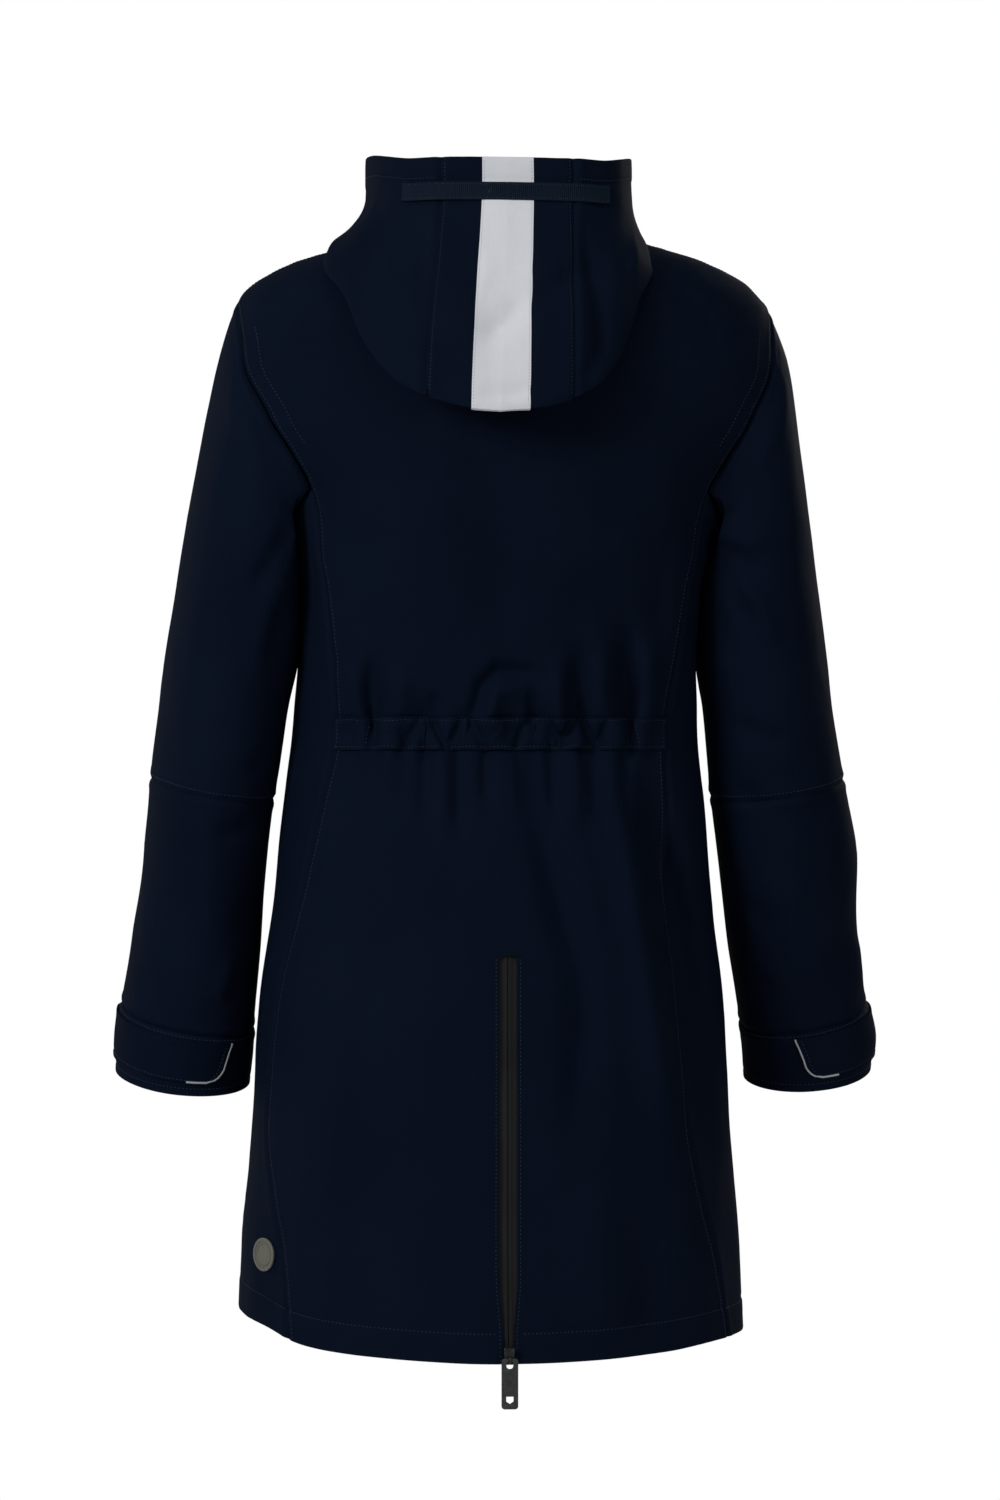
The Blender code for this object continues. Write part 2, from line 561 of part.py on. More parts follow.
# The webbing across the hood, over the stripe.
tape_end = HOOD_TURNS.index(TAPE_TURN)
tape_rows = slice(HOOD_TAPE_ROW, HOOD_TAPE_ROW + 2)
tape_points, tape_out = [
    np.hstack([parts["hood_side_right"][tape_rows, -(tape_end - centre) - 1:-1], parts["hood_centre"][tape_rows],
               parts["hood_side_left"][tape_rows, 1:tape_end - centre + 1]]) for parts in (SHEETS, NORMALS)]
laid_on("hood_tape", tape_points, tape_out, WEBBING, lift=STRIPE_LIFT + 0.0008 + SEAM_GAP)

# The gathered channel across the back of the waist: its middle row stands out, unevenly.
CHANNEL_ROWS = [LOWER_LEVELS.index(level) for level in (-0.412, -0.400, -0.388)]
PUFF = (0.3, 0.8, 2.6, 1.2, 2.8, 0.9, 2.2, 2.9, 1.5, 1.1, 2.6, 0.8, 2.4, 2.9, 1.0, 2.2, 0.8, 0.3)     # mm out
channel, channel_out = BACK[CHANNEL_ROWS].copy(), BACK_OUT[CHANNEL_ROWS]
channel[1] += channel_out[1] * (np.array(PUFF) / 1000)[:, None]
laid_on("waist_channel", channel, channel_out, NAVY, gaps=dict(left=0.001, right=0.001))


# ---------------------------------------------------------------- cuff tabs and their piping

def tab_sheet(hand):
    """Points of a tab and their outward directions, on the cuff band from the outer side round the back."""
    rings, out = SHEETS["sleeve_" + hand][:3], NORMALS["sleeve_" + hand][:3]
    if hand == "left":
        rings, out = rings[:, ::-1], out[:, ::-1]
    columns = TAB_COLUMNS[hand]
    low = [rings[0, c] + (rings[1, c] - rings[0, c]) * 0.38 for c in columns]
    high = [rings[2, c] + (rings[1, c] - rings[2, c]) * 0.04 for c in columns]
    middle = [rings[1, c] for c in columns]
    points = np.array([low, middle, high])
    return points, np.array([out[0, list(columns)], out[1, list(columns)], out[2, list(columns)]])


TAB_COLUMNS = {"left": (-2, -1, 0, 1, 2, 3, 4, 5, 6), "right": (-2, -1, 0, 1, 2, 3, 4, 5)}
PIPING_RADIUS = 0.0008

for hand in ("left", "right"):
    points, out = tab_sheet(hand)
    corner = points[0, -1].copy()
    points[0, -1] = corner * 0.45 + points[0, -2] * 0.55          # the tab's lower corner is cut round
    turned = (points, out) if hand == "right" else (points[:, ::-1], out[:, ::-1])
    laid_on("cuff_tab_" + hand, *turned, NAVY, gaps=dict(left=SEAM_GAP, right=SEAM_GAP))
    beyond = points[:, -1] - points[:, -2]
    beyond /= np.linalg.norm(beyond, axis=1, keepdims=True)
    down = np.array((0, 0, -1.0))
    lift = out[:, -1] * (SEAM_GAP + PIPING_RADIUS * 1.5)
    clear = PIPING_RADIUS + 2 * SEAM_GAP
    route = [points[2, -1] + lift[2] + beyond[2] * clear - (0, 0, 0.003),
             points[1, -1] + lift[1] + beyond[1] * clear,
             points[0, -1] + lift[0] + beyond[0] * clear + down * clear,
             points[0, -2] * 0.35 + points[0, -1] * 0.65 + lift[0] + down * clear * 1.6]
    curve = bpy.data.curves.new("cuff_piping_" + hand, "CURVE")
    curve.dimensions = "3D"
    curve.bevel_depth = PIPING_RADIUS
    curve.bevel_resolution = 1
    curve.use_fill_caps = True
    spline = curve.splines.new("POLY")
    spline.points.add(len(route) - 1)
    for place, point in zip(spline.points, route):
        place.co = (*point, 1.0)
    curve.materials.append(SILVER)
    COAT.objects.link(bpy.data.objects.new("cuff_piping_" + hand, curve))


# ---------------------------------------------------------------- zips

def zip_strip(name, left, right, left_out, right_out, gaps):
    """A zip's two tapes as one strip between the cloth's edges, a little behind their face."""
    points = np.stack([left, (left + right) / 2, right], axis=1)
    out = np.stack([left_out, left_out + right_out, right_out], axis=1)
    out /= np.linalg.norm(out, axis=2, keepdims=True)
    shrink = dict(left=SEAM_GAP, right=SEAM_GAP, **gaps)
    return cloth(name, drawn_in(points - out * 0.0002, **shrink), drawn_in(points - out * 0.0013, **shrink),
                 ZIP_TAPE)


slot = slice(BACK_STRIPS, BACK_STRIPS + 2)
vent_edge = BACK[:VENT_ROW + 1, slot]
vent_out = BACK_OUT[:VENT_ROW + 1, slot]
zip_strip("vent_zip", vent_edge[:, 0], vent_edge[:, 1], vent_out[:, 0], vent_out[:, 1], dict(top=2 * SEAM_GAP))

# The front zip runs up both fronts and on between the ends of the collar.
right_edge = np.vstack([SHEETS["front_right"][:, 0], SHEETS["hood_side_right"][1:, 0]])
left_edge = np.vstack([SHEETS["front_left"][:, -1], SHEETS["hood_side_left"][1:, -1]])
right_out = np.vstack([NORMALS["front_right"][:, 0], NORMALS["hood_side_right"][1:, 0]])
left_out = np.vstack([NORMALS["front_left"][:, -1], NORMALS["hood_side_left"][1:, -1]])
zip_strip("front_zip", left_edge, right_edge, left_out, right_out, {})


# ---------------------------------------------------------------- sliders and pulls

def boolean(thing, tool, operation):
    """Join or cut a thing with a tool, which then stays as a hidden guide."""
    modifier = thing.modifiers.new(operation.lower(), "BOOLEAN")
    modifier.operation = operation
    modifier.object = tool
    tool.hide_render = True
    tool.display_type = "WIRE"
    CUTTERS.objects.link(tool)


def plain_box(name, size, centre, into=None):
    mesh = bmesh.new()
    bmesh.ops.create_cube(mesh, size=1.0)
    bmesh.ops.scale(mesh, vec=size, verts=mesh.verts)
    bmesh.ops.translate(mesh, vec=centre, verts=mesh.verts)
    data = bpy.data.meshes.new(name)
    mesh.to_mesh(data)
    mesh.free()
    thing = bpy.data.objects.new(name, data)
    if into:
        into.objects.link(thing)
    return thing


def zip_slider(name, pivot, facing):
    """A slider's body with the ring its pull hangs on; the ring's centre is the pivot. Facing is +1 behind."""
    slider = plain_box(name, (0.0088, 0.0030, 0.0130), pivot + np.array((0, -0.0043 * facing, 0.0020)), COAT)
    slider.data.materials.append(ZIP_METAL)
    bevel = slider.modifiers.new("rounded", "BEVEL")
    bevel.width = 0.0008
    bevel.segments = 1
    bpy.ops.mesh.primitive_torus_add(major_radius=0.0027, minor_radius=0.0007, major_segments=16, minor_segments=6,
                                     location=pivot, rotation=(0, math.pi / 2, 0))
    ring = bpy.context.object
    ring.name = name + "_ring"
    for owner in list(ring.users_collection):
        owner.objects.unlink(ring)
    boolean(slider, ring, "UNION")
    return slider


def zip_pull(name, pivot):
    """A flat pull hanging from its top bar, whose centre is the pivot; its origin is on the hinge's axis."""
    pull = plain_box(name, (0.0124, 0.0016, 0.0385), (0, 0, -0.0385 / 2 + 0.0008), COAT)
    pull.location = pivot
    pull.data.materials.append(ZIP_METAL)
    bevel = pull.modifiers.new("rounded", "BEVEL")
    bevel.width = 0.0003
    bevel.segments = 1
    eye = plain_box(name + "_eye", (0.0052, 0.0060, 0.0058), (0, 0, -0.0008 - 0.0029))
    window = plain_box(name + "_window", (0.0060, 0.0060, 0.0056), (0, 0, -0.0310))
    for tool in (eye, window):
        tool.parent = pull
        boolean(pull, tool, "DIFFERENCE")
    return pull


vent_face = (vent_edge[0, 0] + vent_edge[0, 1]) / 2
VENT_PIVOT = np.array((vent_face[0], vent_face[1] + 0.0078, vent_face[2] + 0.0045))
collar_top = (left_edge[-1] + right_edge[-1]) / 2
FRONT_PIVOT = np.array((collar_top[0], collar_top[1] - 0.0075, collar_top[2] - 0.0115))
zip_slider("vent_slider", VENT_PIVOT, 1)
zip_pull("vent_pull", VENT_PIVOT)
zip_slider("front_slider", FRONT_PIVOT, -1)
zip_pull("front_pull", FRONT_PIVOT)

# ---------------------------------------------------------------- the badge

# It lies on the left side panel, where a column of its points crosses the badge's middle.
side, side_out = SHEETS["side_left"], NORMALS["side_left"]
share = (BADGE_Z - side[1, BADGE_COLUMN, 2]) / (side[2, BADGE_COLUMN, 2] - side[1, BADGE_COLUMN, 2])
badge_at = side[1, BADGE_COLUMN] * (1 - share) + side[2, BADGE_COLUMN] * share
badge_out = side_out[1, BADGE_COLUMN] * (1 - share) + side_out[2, BADGE_COLUMN] * share
badge_out /= np.linalg.norm(badge_out)
bpy.ops.mesh.primitive_cylinder_add(vertices=32, radius=BADGE_RADIUS, depth=BADGE_THICK,
                                    location=badge_at + badge_out * (2 * SEAM_GAP + BADGE_THICK / 2))
badge = bpy.context.object
badge.name = "badge"
badge.rotation_mode = "QUATERNION"
badge.rotation_quaternion = Vector(badge_out).to_track_quat("Z", "Y")
badge.data.materials.append(BADGE)
for owner in list(badge.users_collection):
    owner.objects.unlink(badge)
COAT.objects.link(badge)
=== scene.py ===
"""The looks of a hooded raincoat with its hood down, filled out as on a general figure."""
import bpy
import math
import numpy as np
from mathutils import Matrix, Vector, noise


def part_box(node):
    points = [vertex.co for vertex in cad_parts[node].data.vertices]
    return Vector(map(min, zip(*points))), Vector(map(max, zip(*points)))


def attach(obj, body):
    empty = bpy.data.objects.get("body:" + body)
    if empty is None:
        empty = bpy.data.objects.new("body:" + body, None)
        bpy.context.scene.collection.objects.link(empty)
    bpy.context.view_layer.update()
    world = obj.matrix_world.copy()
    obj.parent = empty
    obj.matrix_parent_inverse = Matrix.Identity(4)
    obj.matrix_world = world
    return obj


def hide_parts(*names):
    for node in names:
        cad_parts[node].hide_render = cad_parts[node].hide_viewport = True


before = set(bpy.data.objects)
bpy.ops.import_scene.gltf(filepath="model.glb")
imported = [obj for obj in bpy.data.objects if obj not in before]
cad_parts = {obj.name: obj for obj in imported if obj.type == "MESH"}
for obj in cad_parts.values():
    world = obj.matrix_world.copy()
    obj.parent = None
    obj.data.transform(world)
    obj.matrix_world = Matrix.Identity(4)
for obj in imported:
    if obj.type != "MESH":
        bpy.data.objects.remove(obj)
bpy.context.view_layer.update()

bpy.ops.object.select_all(action="DESELECT")

# ---------------------------------------------------------------- the studio
# A pale floor well below the hem, a white room round it, and large soft lamps: the strongest stands
# above the wearer's left shoulder blade, so that the folds shade towards the right.

FLOOR_HEIGHT, FLOOR_RADIUS = -1.45, 2.5
CAMERA_TURN = math.radians(174.5)
CAMERA_AWAY = 3.6
CAMERA_AIM = Vector((0.0024, 0.0, -0.412))
CAMERA_SENSOR, CAMERA_LENS = 36, 108      # in millimetres
ROOM_LIGHT = 0.32      # the room lights the coat less than it looks, so that the lamps shape the folds

camera_place = CAMERA_AIM + CAMERA_AWAY * Vector((math.sin(CAMERA_TURN), -math.cos(CAMERA_TURN), 0))
bpy.ops.object.camera_add(location=camera_place, rotation=(math.pi / 2, 0, CAMERA_TURN))
camera = bpy.context.object
camera.data.sensor_width = CAMERA_SENSOR
camera.data.lens = CAMERA_LENS
bpy.context.scene.camera = camera
bpy.context.scene.view_settings.view_transform = "Standard"


def soft_lamp(name, place, size, power):
    """A square lamp that faces the middle of the coat."""
    bpy.ops.object.light_add(type="AREA", location=place)
    lamp = bpy.context.object
    lamp.name = name
    lamp.data.size = size
    lamp.data.energy = power
    lamp.rotation_euler = (CAMERA_AIM - lamp.location).to_track_quat("-Z", "Y").to_euler()


def speckled_material(name, dark, light, grain, roughness, specular=0.5, detail=2.0, relief=0.0):
    """An even finish, speckled from the dark tone to the light one; relief is the speckles' height."""
    finish = bpy.data.materials.new(name)
    finish.use_nodes = True
    nodes, link = finish.node_tree.nodes, finish.node_tree.links.new
    shader = nodes["Principled BSDF"]
    shader.inputs["Roughness"].default_value = roughness
    shader.inputs["Specular IOR Level"].default_value = specular
    place = nodes.new("ShaderNodeTexCoord")
    speckle = nodes.new("ShaderNodeTexNoise")
    speckle.inputs["Scale"].default_value = grain
    speckle.inputs["Detail"].default_value = detail
    link(place.outputs["Object"], speckle.inputs["Vector"])
    tone = nodes.new("ShaderNodeValToRGB")
    tone.color_ramp.elements[0].color = (*dark, 1)
    tone.color_ramp.elements[1].color = (*light, 1)
    link(speckle.outputs["Fac"], tone.inputs["Fac"])
    link(tone.outputs["Color"], shader.inputs["Base Color"])
    if relief:
        bump = nodes.new("ShaderNodeBump")
        bump.inputs["Distance"].default_value = relief
        link(speckle.outputs["Fac"], bump.inputs["Height"])
        link(bump.outputs["Normal"], shader.inputs["Normal"])
    return finish


soft_lamp("key_lamp", (2.5, 2.2, 0.9), 1.1, 112)
soft_lamp("right_lamp", (-2.0, 2.7, 0.3), 1.4, 24)
soft_lamp("top_lamp", (0.2, 1.4, 2.2), 1.4, 22)
soft_lamp("front_key_lamp", (-2.2, -2.5, 0.9), 1.3, 36)
soft_lamp("front_fill_lamp", (2.6, -2.0, 0.2), 1.5, 20)

world = bpy.data.worlds.new("white_room")
world.use_nodes = True
room_light = world.node_tree.nodes["Background"]
room_light.inputs["Color"].default_value = (1, 1, 1, 1)
room_light.inputs["Strength"].default_value = ROOM_LIGHT
room_look = world.node_tree.nodes.new("ShaderNodeBackground")
room_look.inputs["Color"].default_value = (1, 1, 1, 1)
seen = world.node_tree.nodes.new("ShaderNodeLightPath")
room = world.node_tree.nodes.new("ShaderNodeMixShader")
world.node_tree.links.new(seen.outputs["Is Camera Ray"], room.inputs[0])
world.node_tree.links.new(room_light.outputs["Background"], room.inputs[1])
world.node_tree.links.new(room_look.outputs["Background"], room.inputs[2])
world.node_tree.links.new(room.outputs["Shader"], world.node_tree.nodes["World Output"].inputs["Surface"])
bpy.context.scene.world = world

bpy.ops.mesh.primitive_circle_add(vertices=96, radius=FLOOR_RADIUS, fill_type="NGON",
                                  location=(0, 0, FLOOR_HEIGHT))
floor = bpy.context.object
floor.name = "pale_floor"
bpy.ops.object.transform_apply(location=True)
floor.data.materials.append(speckled_material("pale_floor_paint", (0.84, 0.84, 0.84), (0.88, 0.88, 0.88),
                                              grain=3.0, roughness=0.9, specular=0.1))

# ---------------------------------------------------------------- the back
# The back of the coat is cut in one piece from a close navy rain cloth, 1.4 mm thick with its backing.
# It is slit at centre back for the vent, gathered at the waist, and its hem is turned up and stitched.

WALL = 0.0014          # the coat's cloth
ZIP_HALF = 0.0073      # half of the zips' showing width
VENT_TOP = -0.571
UNDERARM = -0.209      # level where the princess and front seams reach the armhole
TIP = -0.050           # level of the shoulder tip
NAPE = 0.008           # level of the neckline at the shoulder seams
HEM = -0.884           # nominal level of the hem
HEM_DEPTH = 0.023      # how deep the hem is turned up
FACING_DEPTH = 0.019   # how far inside the armhole its facing is stitched through
UNDERARM_DROP = 0.031  # how much lower the armhole is at the side than at the panels' seams
NECK_DROP = {"back": 0.008, "front": 0.083}      # how much lower the neckline is there than at the shoulders
SIDE_SEAM = {"back": -0.262, "front": -0.360}    # where each seam of the side panel turns in to the armhole
FRONT_SEAM_TURN = 118.0
SEAM_STITCH, EDGE_STITCH = 0.006, 0.0022         # stitching beside a seam, and beside a zip
BACK_FOLD_DEPTH = 1.45                           # the folds behind are this much deeper than listed


def table(columns, rows):
    """A short table as named columns of numbers."""
    return dict(zip(columns.split(), np.array(rows, float).T))


# Horizontal sections of the body: half its width, its depth behind and in front of the side line, the
# squareness of the curve and how far its centre stands to the wearer's left.
BODY = table("level half back front square centre", [
    (-0.884, 0.2010, 0.150, 0.142, 2.25, 0.0100),
    (-0.804, 0.1985, 0.145, 0.140, 2.25, 0.0100),
    (-0.708, 0.1905, 0.139, 0.137, 2.25, 0.0095),
    (-0.612, 0.1850, 0.132, 0.133, 2.25, 0.0090),
    (-0.532, 0.1750, 0.122, 0.128, 2.25, 0.0080),
    (-0.484, 0.1710, 0.113, 0.124, 2.30, 0.0075),
    (-0.436, 0.1655, 0.102, 0.120, 2.35, 0.0070),
    (-0.400, 0.1615, 0.094, 0.118, 2.40, 0.0060),
    (-0.375, 0.1605, 0.100, 0.120, 2.40, 0.0055),
    (-0.340, 0.1590, 0.106, 0.124, 2.40, 0.0045),
    (-0.290, 0.1600, 0.114, 0.130, 2.40, 0.0030),
    (-0.240, 0.1660, 0.120, 0.135, 2.35, 0.0015),
    (-0.209, 0.1760, 0.121, 0.136, 2.30, 0.0005),
    (-0.182, 0.1970, 0.120, 0.136, 2.25, 0.0),
    (-0.150, 0.2190, 0.118, 0.133, 2.20, 0.0),
    (-0.113, 0.2300, 0.113, 0.128, 2.15, 0.0),
    (-0.085, 0.2240, 0.107, 0.121, 2.10, 0.0),
    (-0.060, 0.2150, 0.100, 0.113, 2.10, 0.0),
    (-0.046, 0.2035, 0.095, 0.108, 2.10, 0.0),
    (-0.036, 0.1905, 0.090, 0.102, 2.05, -0.001),
    (-0.021, 0.1580, 0.081, 0.092, 2.05, -0.003),
    (-0.010, 0.1220, 0.074, 0.085, 2.00, 0.0),
    (0.008, 0.0750, 0.062, 0.075, 2.00, 0.004)])

# The hem round the body, deeper behind than in front.
HEM_LINE = table("turn z", [
    (-180, -0.845), (-125, -0.860), (-90, -0.872), (-57, -0.874), (-33, -0.879), (0, -0.883),
    (25, -0.879), (48, -0.8725), (65, -0.861), (90, -0.8535), (125, -0.848), (180, -0.845)])

# The princess seams of the back, as turns at each level.
PRINCESS = table("level left right", [
    (-0.884, 54, -62), (-0.820, 57, -57), (-0.760, 64, -51), (-0.700, 72, -47), (-0.620, 70, -46),
    (-0.520, 62, -46), (-0.458, 56, -49), (-0.400, 52, -49), (-0.340, 56, -56), (-0.262, 63, -63)])

# The armhole's edge: how far behind and in front of the side line it stands.
ARMHOLE = table("level back front", [
    (-0.209, 0.064, -0.070), (-0.182, 0.067, -0.075), (-0.150, 0.064, -0.072), (-0.113, 0.052, -0.060),
    (-0.086, 0.039, -0.044), (-0.065, 0.023, -0.026), (-0.050, 0.0, 0.0)])

# Folds behind: the places each one runs through (x, z), half its width and how far it stands out.
BACK_FOLDS = [
    # the fold that hangs from the waist on the right and shades that side
    ([(-0.104, -0.440), (-0.122, -0.520), (-0.142, -0.670)], 0.016, -0.0070),
    ([(-0.078, -0.420), (-0.096, -0.540), (-0.118, -0.680)], 0.012, 0.0040),
    # above the gathered waist
    ([(0.110, -0.338), (0.110, -0.372), (0.107, -0.400)], 0.0065, -0.0055),
    ([(0.128, -0.345), (0.127, -0.400)], 0.010, 0.0035),
    ([(0.090, -0.348), (0.088, -0.400)], 0.010, 0.0045),
    ([(0.062, -0.364), (0.059, -0.402)], 0.006, -0.0035),
    ([(0.037, -0.402), (0.027, -0.362), (0.014, -0.349), (-0.010, -0.352), (-0.024, -0.362)],
     0.0055, -0.0045),
    ([(0.024, -0.402), (0.014, -0.366), (-0.006, -0.368)], 0.008, 0.0045),
    ([(-0.013, -0.364), (-0.016, -0.400)], 0.005, -0.0035),
    ([(-0.032, -0.348), (-0.034, -0.402)], 0.008, 0.0045),
    ([(-0.049, -0.336), (-0.050, -0.402)], 0.0075, -0.0065),
    ([(-0.068, -0.335), (-0.069, -0.402)], 0.009, 0.0050),
    ([(-0.086, -0.310), (-0.089, -0.350), (-0.092, -0.402)], 0.010, -0.0080),
    ([(-0.107, -0.325), (-0.107, -0.402)], 0.009, 0.0045),
    # below it
    ([(0.096, -0.398), (0.098, -0.450)], 0.008, 0.0025),
    ([(0.069, -0.398), (0.071, -0.470)], 0.0055, -0.0030),
    ([(0.056, -0.398), (0.058, -0.475)], 0.008, 0.0025),
    ([(0.044, -0.398), (0.045, -0.480)], 0.0055, -0.0035),
    ([(0.024, -0.398), (0.024, -0.455)], 0.005, -0.0030),
    ([(0.008, -0.398), (0.004, -0.460)], 0.009, 0.0025),
    ([(-0.029, -0.398), (-0.031, -0.470)], 0.0055, -0.0035),
    ([(-0.046, -0.398), (-0.049, -0.470)], 0.008, 0.0028),
    ([(-0.061, -0.398), (-0.064, -0.460)], 0.0055, -0.0030),
    ([(-0.085, -0.398), (-0.089, -0.470)], 0.006, -0.0032),
    # the skirt's long folds
    ([(-0.010, -0.425), (-0.022, -0.480), (-0.033, -0.524), (-0.049, -0.583), (-0.051, -0.625),
      (-0.043, -0.700)], 0.014, -0.0060),
    ([(-0.040, -0.440), (-0.062, -0.540), (-0.078, -0.640)], 0.022, 0.0030),
    ([(-0.078, -0.415), (-0.093, -0.518), (-0.107, -0.597), (-0.120, -0.671), (-0.132, -0.760)],
     0.020, 0.0085),
    ([(-0.106, -0.430), (-0.122, -0.530), (-0.138, -0.620), (-0.150, -0.720)], 0.021, -0.0105),
    ([(-0.133, -0.542), (-0.147, -0.554)], 0.004, -0.0020),
    ([(0.010, -0.480), (0.030, -0.620), (0.040, -0.760)], 0.030, 0.0025),
    ([(0.096, -0.500), (0.112, -0.620), (0.128, -0.810)], 0.028, -0.0045),
    ([(0.145, -0.660), (0.152, -0.740), (0.160, -0.870)], 0.020, 0.0045),
    ([(0.160, -0.770), (0.162, -0.850)], 0.011, -0.0040),
    ([(0.186, -0.790), (0.188, -0.860)], 0.010, -0.0040),
    ([(-0.060, -0.740), (-0.068, -0.880)], 0.022, 0.0030),
    ([(-0.098, -0.760), (-0.104, -0.880)], 0.018, -0.0030),
    ([(0.060, -0.790), (0.066, -0.882)], 0.020, -0.0020),
    # the upper back
    ([(0.020, -0.190), (0.012, -0.260), (0.016, -0.330)], 0.026, -0.0028),
    ([(-0.040, -0.180), (-0.045, -0.300)], 0.030, 0.0020),
    ([(0.075, -0.200), (0.085, -0.320)], 0.026, 0.0022),
    ([(0.120, -0.230), (0.124, -0.330)], 0.014, -0.0025),
    ([(-0.118, -0.240), (-0.110, -0.330)], 0.014, -0.0030),
    ([(-0.128, -0.048), (-0.152, -0.072), (-0.164, -0.100)], 0.007, -0.0022),
    ([(0.150, -0.060), (0.170, -0.110)], 0.010, -0.0018),
    ([(-0.060, -0.520), (-0.058, -0.560)], 0.010, 0.0010)]

# Softer ones of the same kind in front.
FRONT_FOLDS = [
    ([(0.080, -0.230), (0.096, -0.330), (0.100, -0.470)], 0.022, -0.0045),
    ([(-0.078, -0.220), (-0.090, -0.320), (-0.098, -0.490)], 0.022, -0.0050),
    ([(0.050, -0.300), (0.058, -0.500)], 0.024, 0.0030),
    ([(-0.046, -0.330), (-0.052, -0.520)], 0.024, 0.0028),
    ([(0.060, -0.520), (0.068, -0.660), (0.078, -0.840)], 0.026, 0.0050),
    ([(-0.050, -0.480), (-0.064, -0.640), (-0.070, -0.845)], 0.024, 0.0055),
    ([(0.100, -0.560), (0.112, -0.830)], 0.018, -0.0050),
    ([(-0.092, -0.540), (-0.106, -0.830)], 0.020, -0.0055),
    ([(0.140, -0.430), (0.150, -0.800)], 0.018, 0.0045),
    ([(-0.138, -0.410), (-0.152, -0.790)], 0.018, 0.0045),
    ([(0.128, -0.385), (0.100, -0.402), (0.078, -0.404)], 0.006, -0.0022),
    ([(0.132, -0.412), (0.108, -0.422)], 0.005, -0.0018),
    ([(-0.130, -0.392), (-0.098, -0.405), (-0.070, -0.400)], 0.006, -0.0022),
    ([(-0.134, -0.418), (-0.112, -0.432)], 0.005, -0.0018),
    ([(0.145, -0.120), (0.120, -0.165)], 0.010, -0.0025),
    ([(-0.145, -0.115), (-0.118, -0.160)], 0.010, -0.0025),
    ([(0.030, -0.620), (0.034, -0.700)], 0.014, -0.0020)]


def at(rows, column, place):
    """The values of a column at some places, on a smooth curve through the rows with no overshoot."""
    keys = rows[next(iter(rows))]
    values = rows[column]
    if keys[0] > keys[-1]:
        keys, values = keys[::-1], values[::-1]
    step = np.diff(keys)
    slope = np.diff(values) / step
    lean = np.zeros(len(keys))
    same = slope[1:] * slope[:-1] > 0
    lean[1:-1][same] = 2 * slope[1:][same] * slope[:-1][same] / (slope[1:][same] + slope[:-1][same])
    lean[0], lean[-1] = slope[0], slope[-1]
    place = np.clip(place, keys[0], keys[-1])
    i = np.clip(np.searchsorted(keys, place, side="right") - 1, 0, len(step) - 1)
    t = (place - keys[i]) / step[i]
    return ((1 + 2 * t) * (1 - t) ** 2 * values[i] + t * (1 - t) ** 2 * step[i] * lean[i]
            + t * t * (3 - 2 * t) * values[i + 1] + t * t * (t - 1) * step[i] * lean[i + 1])


def ease(value, start, end):
    """0 at start, 1 at end, smooth between."""
    t = np.clip((value - start) / (end - start), 0.0, 1.0)
    return t * t * (3 - 2 * t)


def folded(x, z, folds):
    """How far the folds push the cloth out at each place. Each dies away towards both of its ends."""
    rise = np.zeros(np.broadcast(x, z).shape)
    for line, reach, size in folds:
        line = np.array(line)
        lengths = np.linalg.norm(np.diff(line, axis=0), axis=1)
        nearest = np.full(rise.shape, np.inf)
        place = np.zeros(rise.shape)
        for a, b, length, before in zip(line, line[1:], lengths, np.cumsum(lengths) - lengths):
            t = np.clip(((x - a[0]) * (b - a)[0] + (z - a[1]) * (b - a)[1]) / length ** 2, 0, 1)
            gap = np.hypot(x - a[0] - t * (b - a)[0], z - a[1] - t * (b - a)[1])
            place = np.where(gap < nearest, (before + t * length) / lengths.sum(), place)
            nearest = np.minimum(nearest, gap)
        rise += size * np.exp(-(nearest / reach) ** 2) * ease(np.minimum(place, 1 - place), -0.12, 0.33)
    return rise


def armhole_turn(side, level):
    """The turn of the armhole's edge behind or in front of the side line."""
    c = (np.abs(at(ARMHOLE, side, level)) / at(BODY, side, level)) ** (at(BODY, "square", level) / 2)
    return np.degrees(np.arccos(c)) if side == "back" else 180 - np.degrees(np.arccos(c))


def underarm(away):
    """How far towards the bottom of the armhole a turn is: 0 at the panels' seams, 1 at the side."""
    back, front = armhole_turn("back", UNDERARM), armhole_turn("front", UNDERARM)
    return np.sin(math.pi * np.clip((away - back) / (front - back), 0, 1)) ** 1.2


def body_point(turn, level):
    """The coat's outer face. Turns run from centre back (0) by the left side (90) to centre front (180)."""
    turn, level = np.broadcast_arrays(np.asarray(turn, float), np.asarray(level, float))
    half, square = at(BODY, "half", level), at(BODY, "square", level)
    s, c = np.sin(np.radians(turn)), np.cos(np.radians(turn))
    depth = np.where(c > 0, at(BODY, "back", level), at(BODY, "front", level))
    x = at(BODY, "centre", level) + half * np.sign(s) * np.abs(s) ** (2 / square)
    y = depth * np.sign(c) * np.abs(c) ** (2 / square)
    z = level + (at(HEM_LINE, "z", turn) - HEM) * (1 - ease(level, HEM, -0.74))
    away = np.abs(turn)
    z = z - UNDERARM_DROP * ease(level, -0.300, UNDERARM) * (1 - ease(level, UNDERARM, TIP)) * underarm(away)
    neck_before = ease(level, UNDERARM, NAPE) * (1 - np.cos(np.radians(2 * (away - 90)))) / 2
    neck_behind = ease(level, -0.10, NAPE) * np.cos(np.radians(away)) ** 2
    z = z - np.where(away > 90, NECK_DROP["front"] * neck_before, NECK_DROP["back"] * neck_behind)
    behind, before = ease(y, 0.015, 0.06), ease(-y, 0.015, 0.06)
    y = y + BACK_FOLD_DEPTH * folded(x, z, BACK_FOLDS) * behind - folded(x, z, FRONT_FOLDS) * before
    return np.stack([x, y, z], axis=-1)


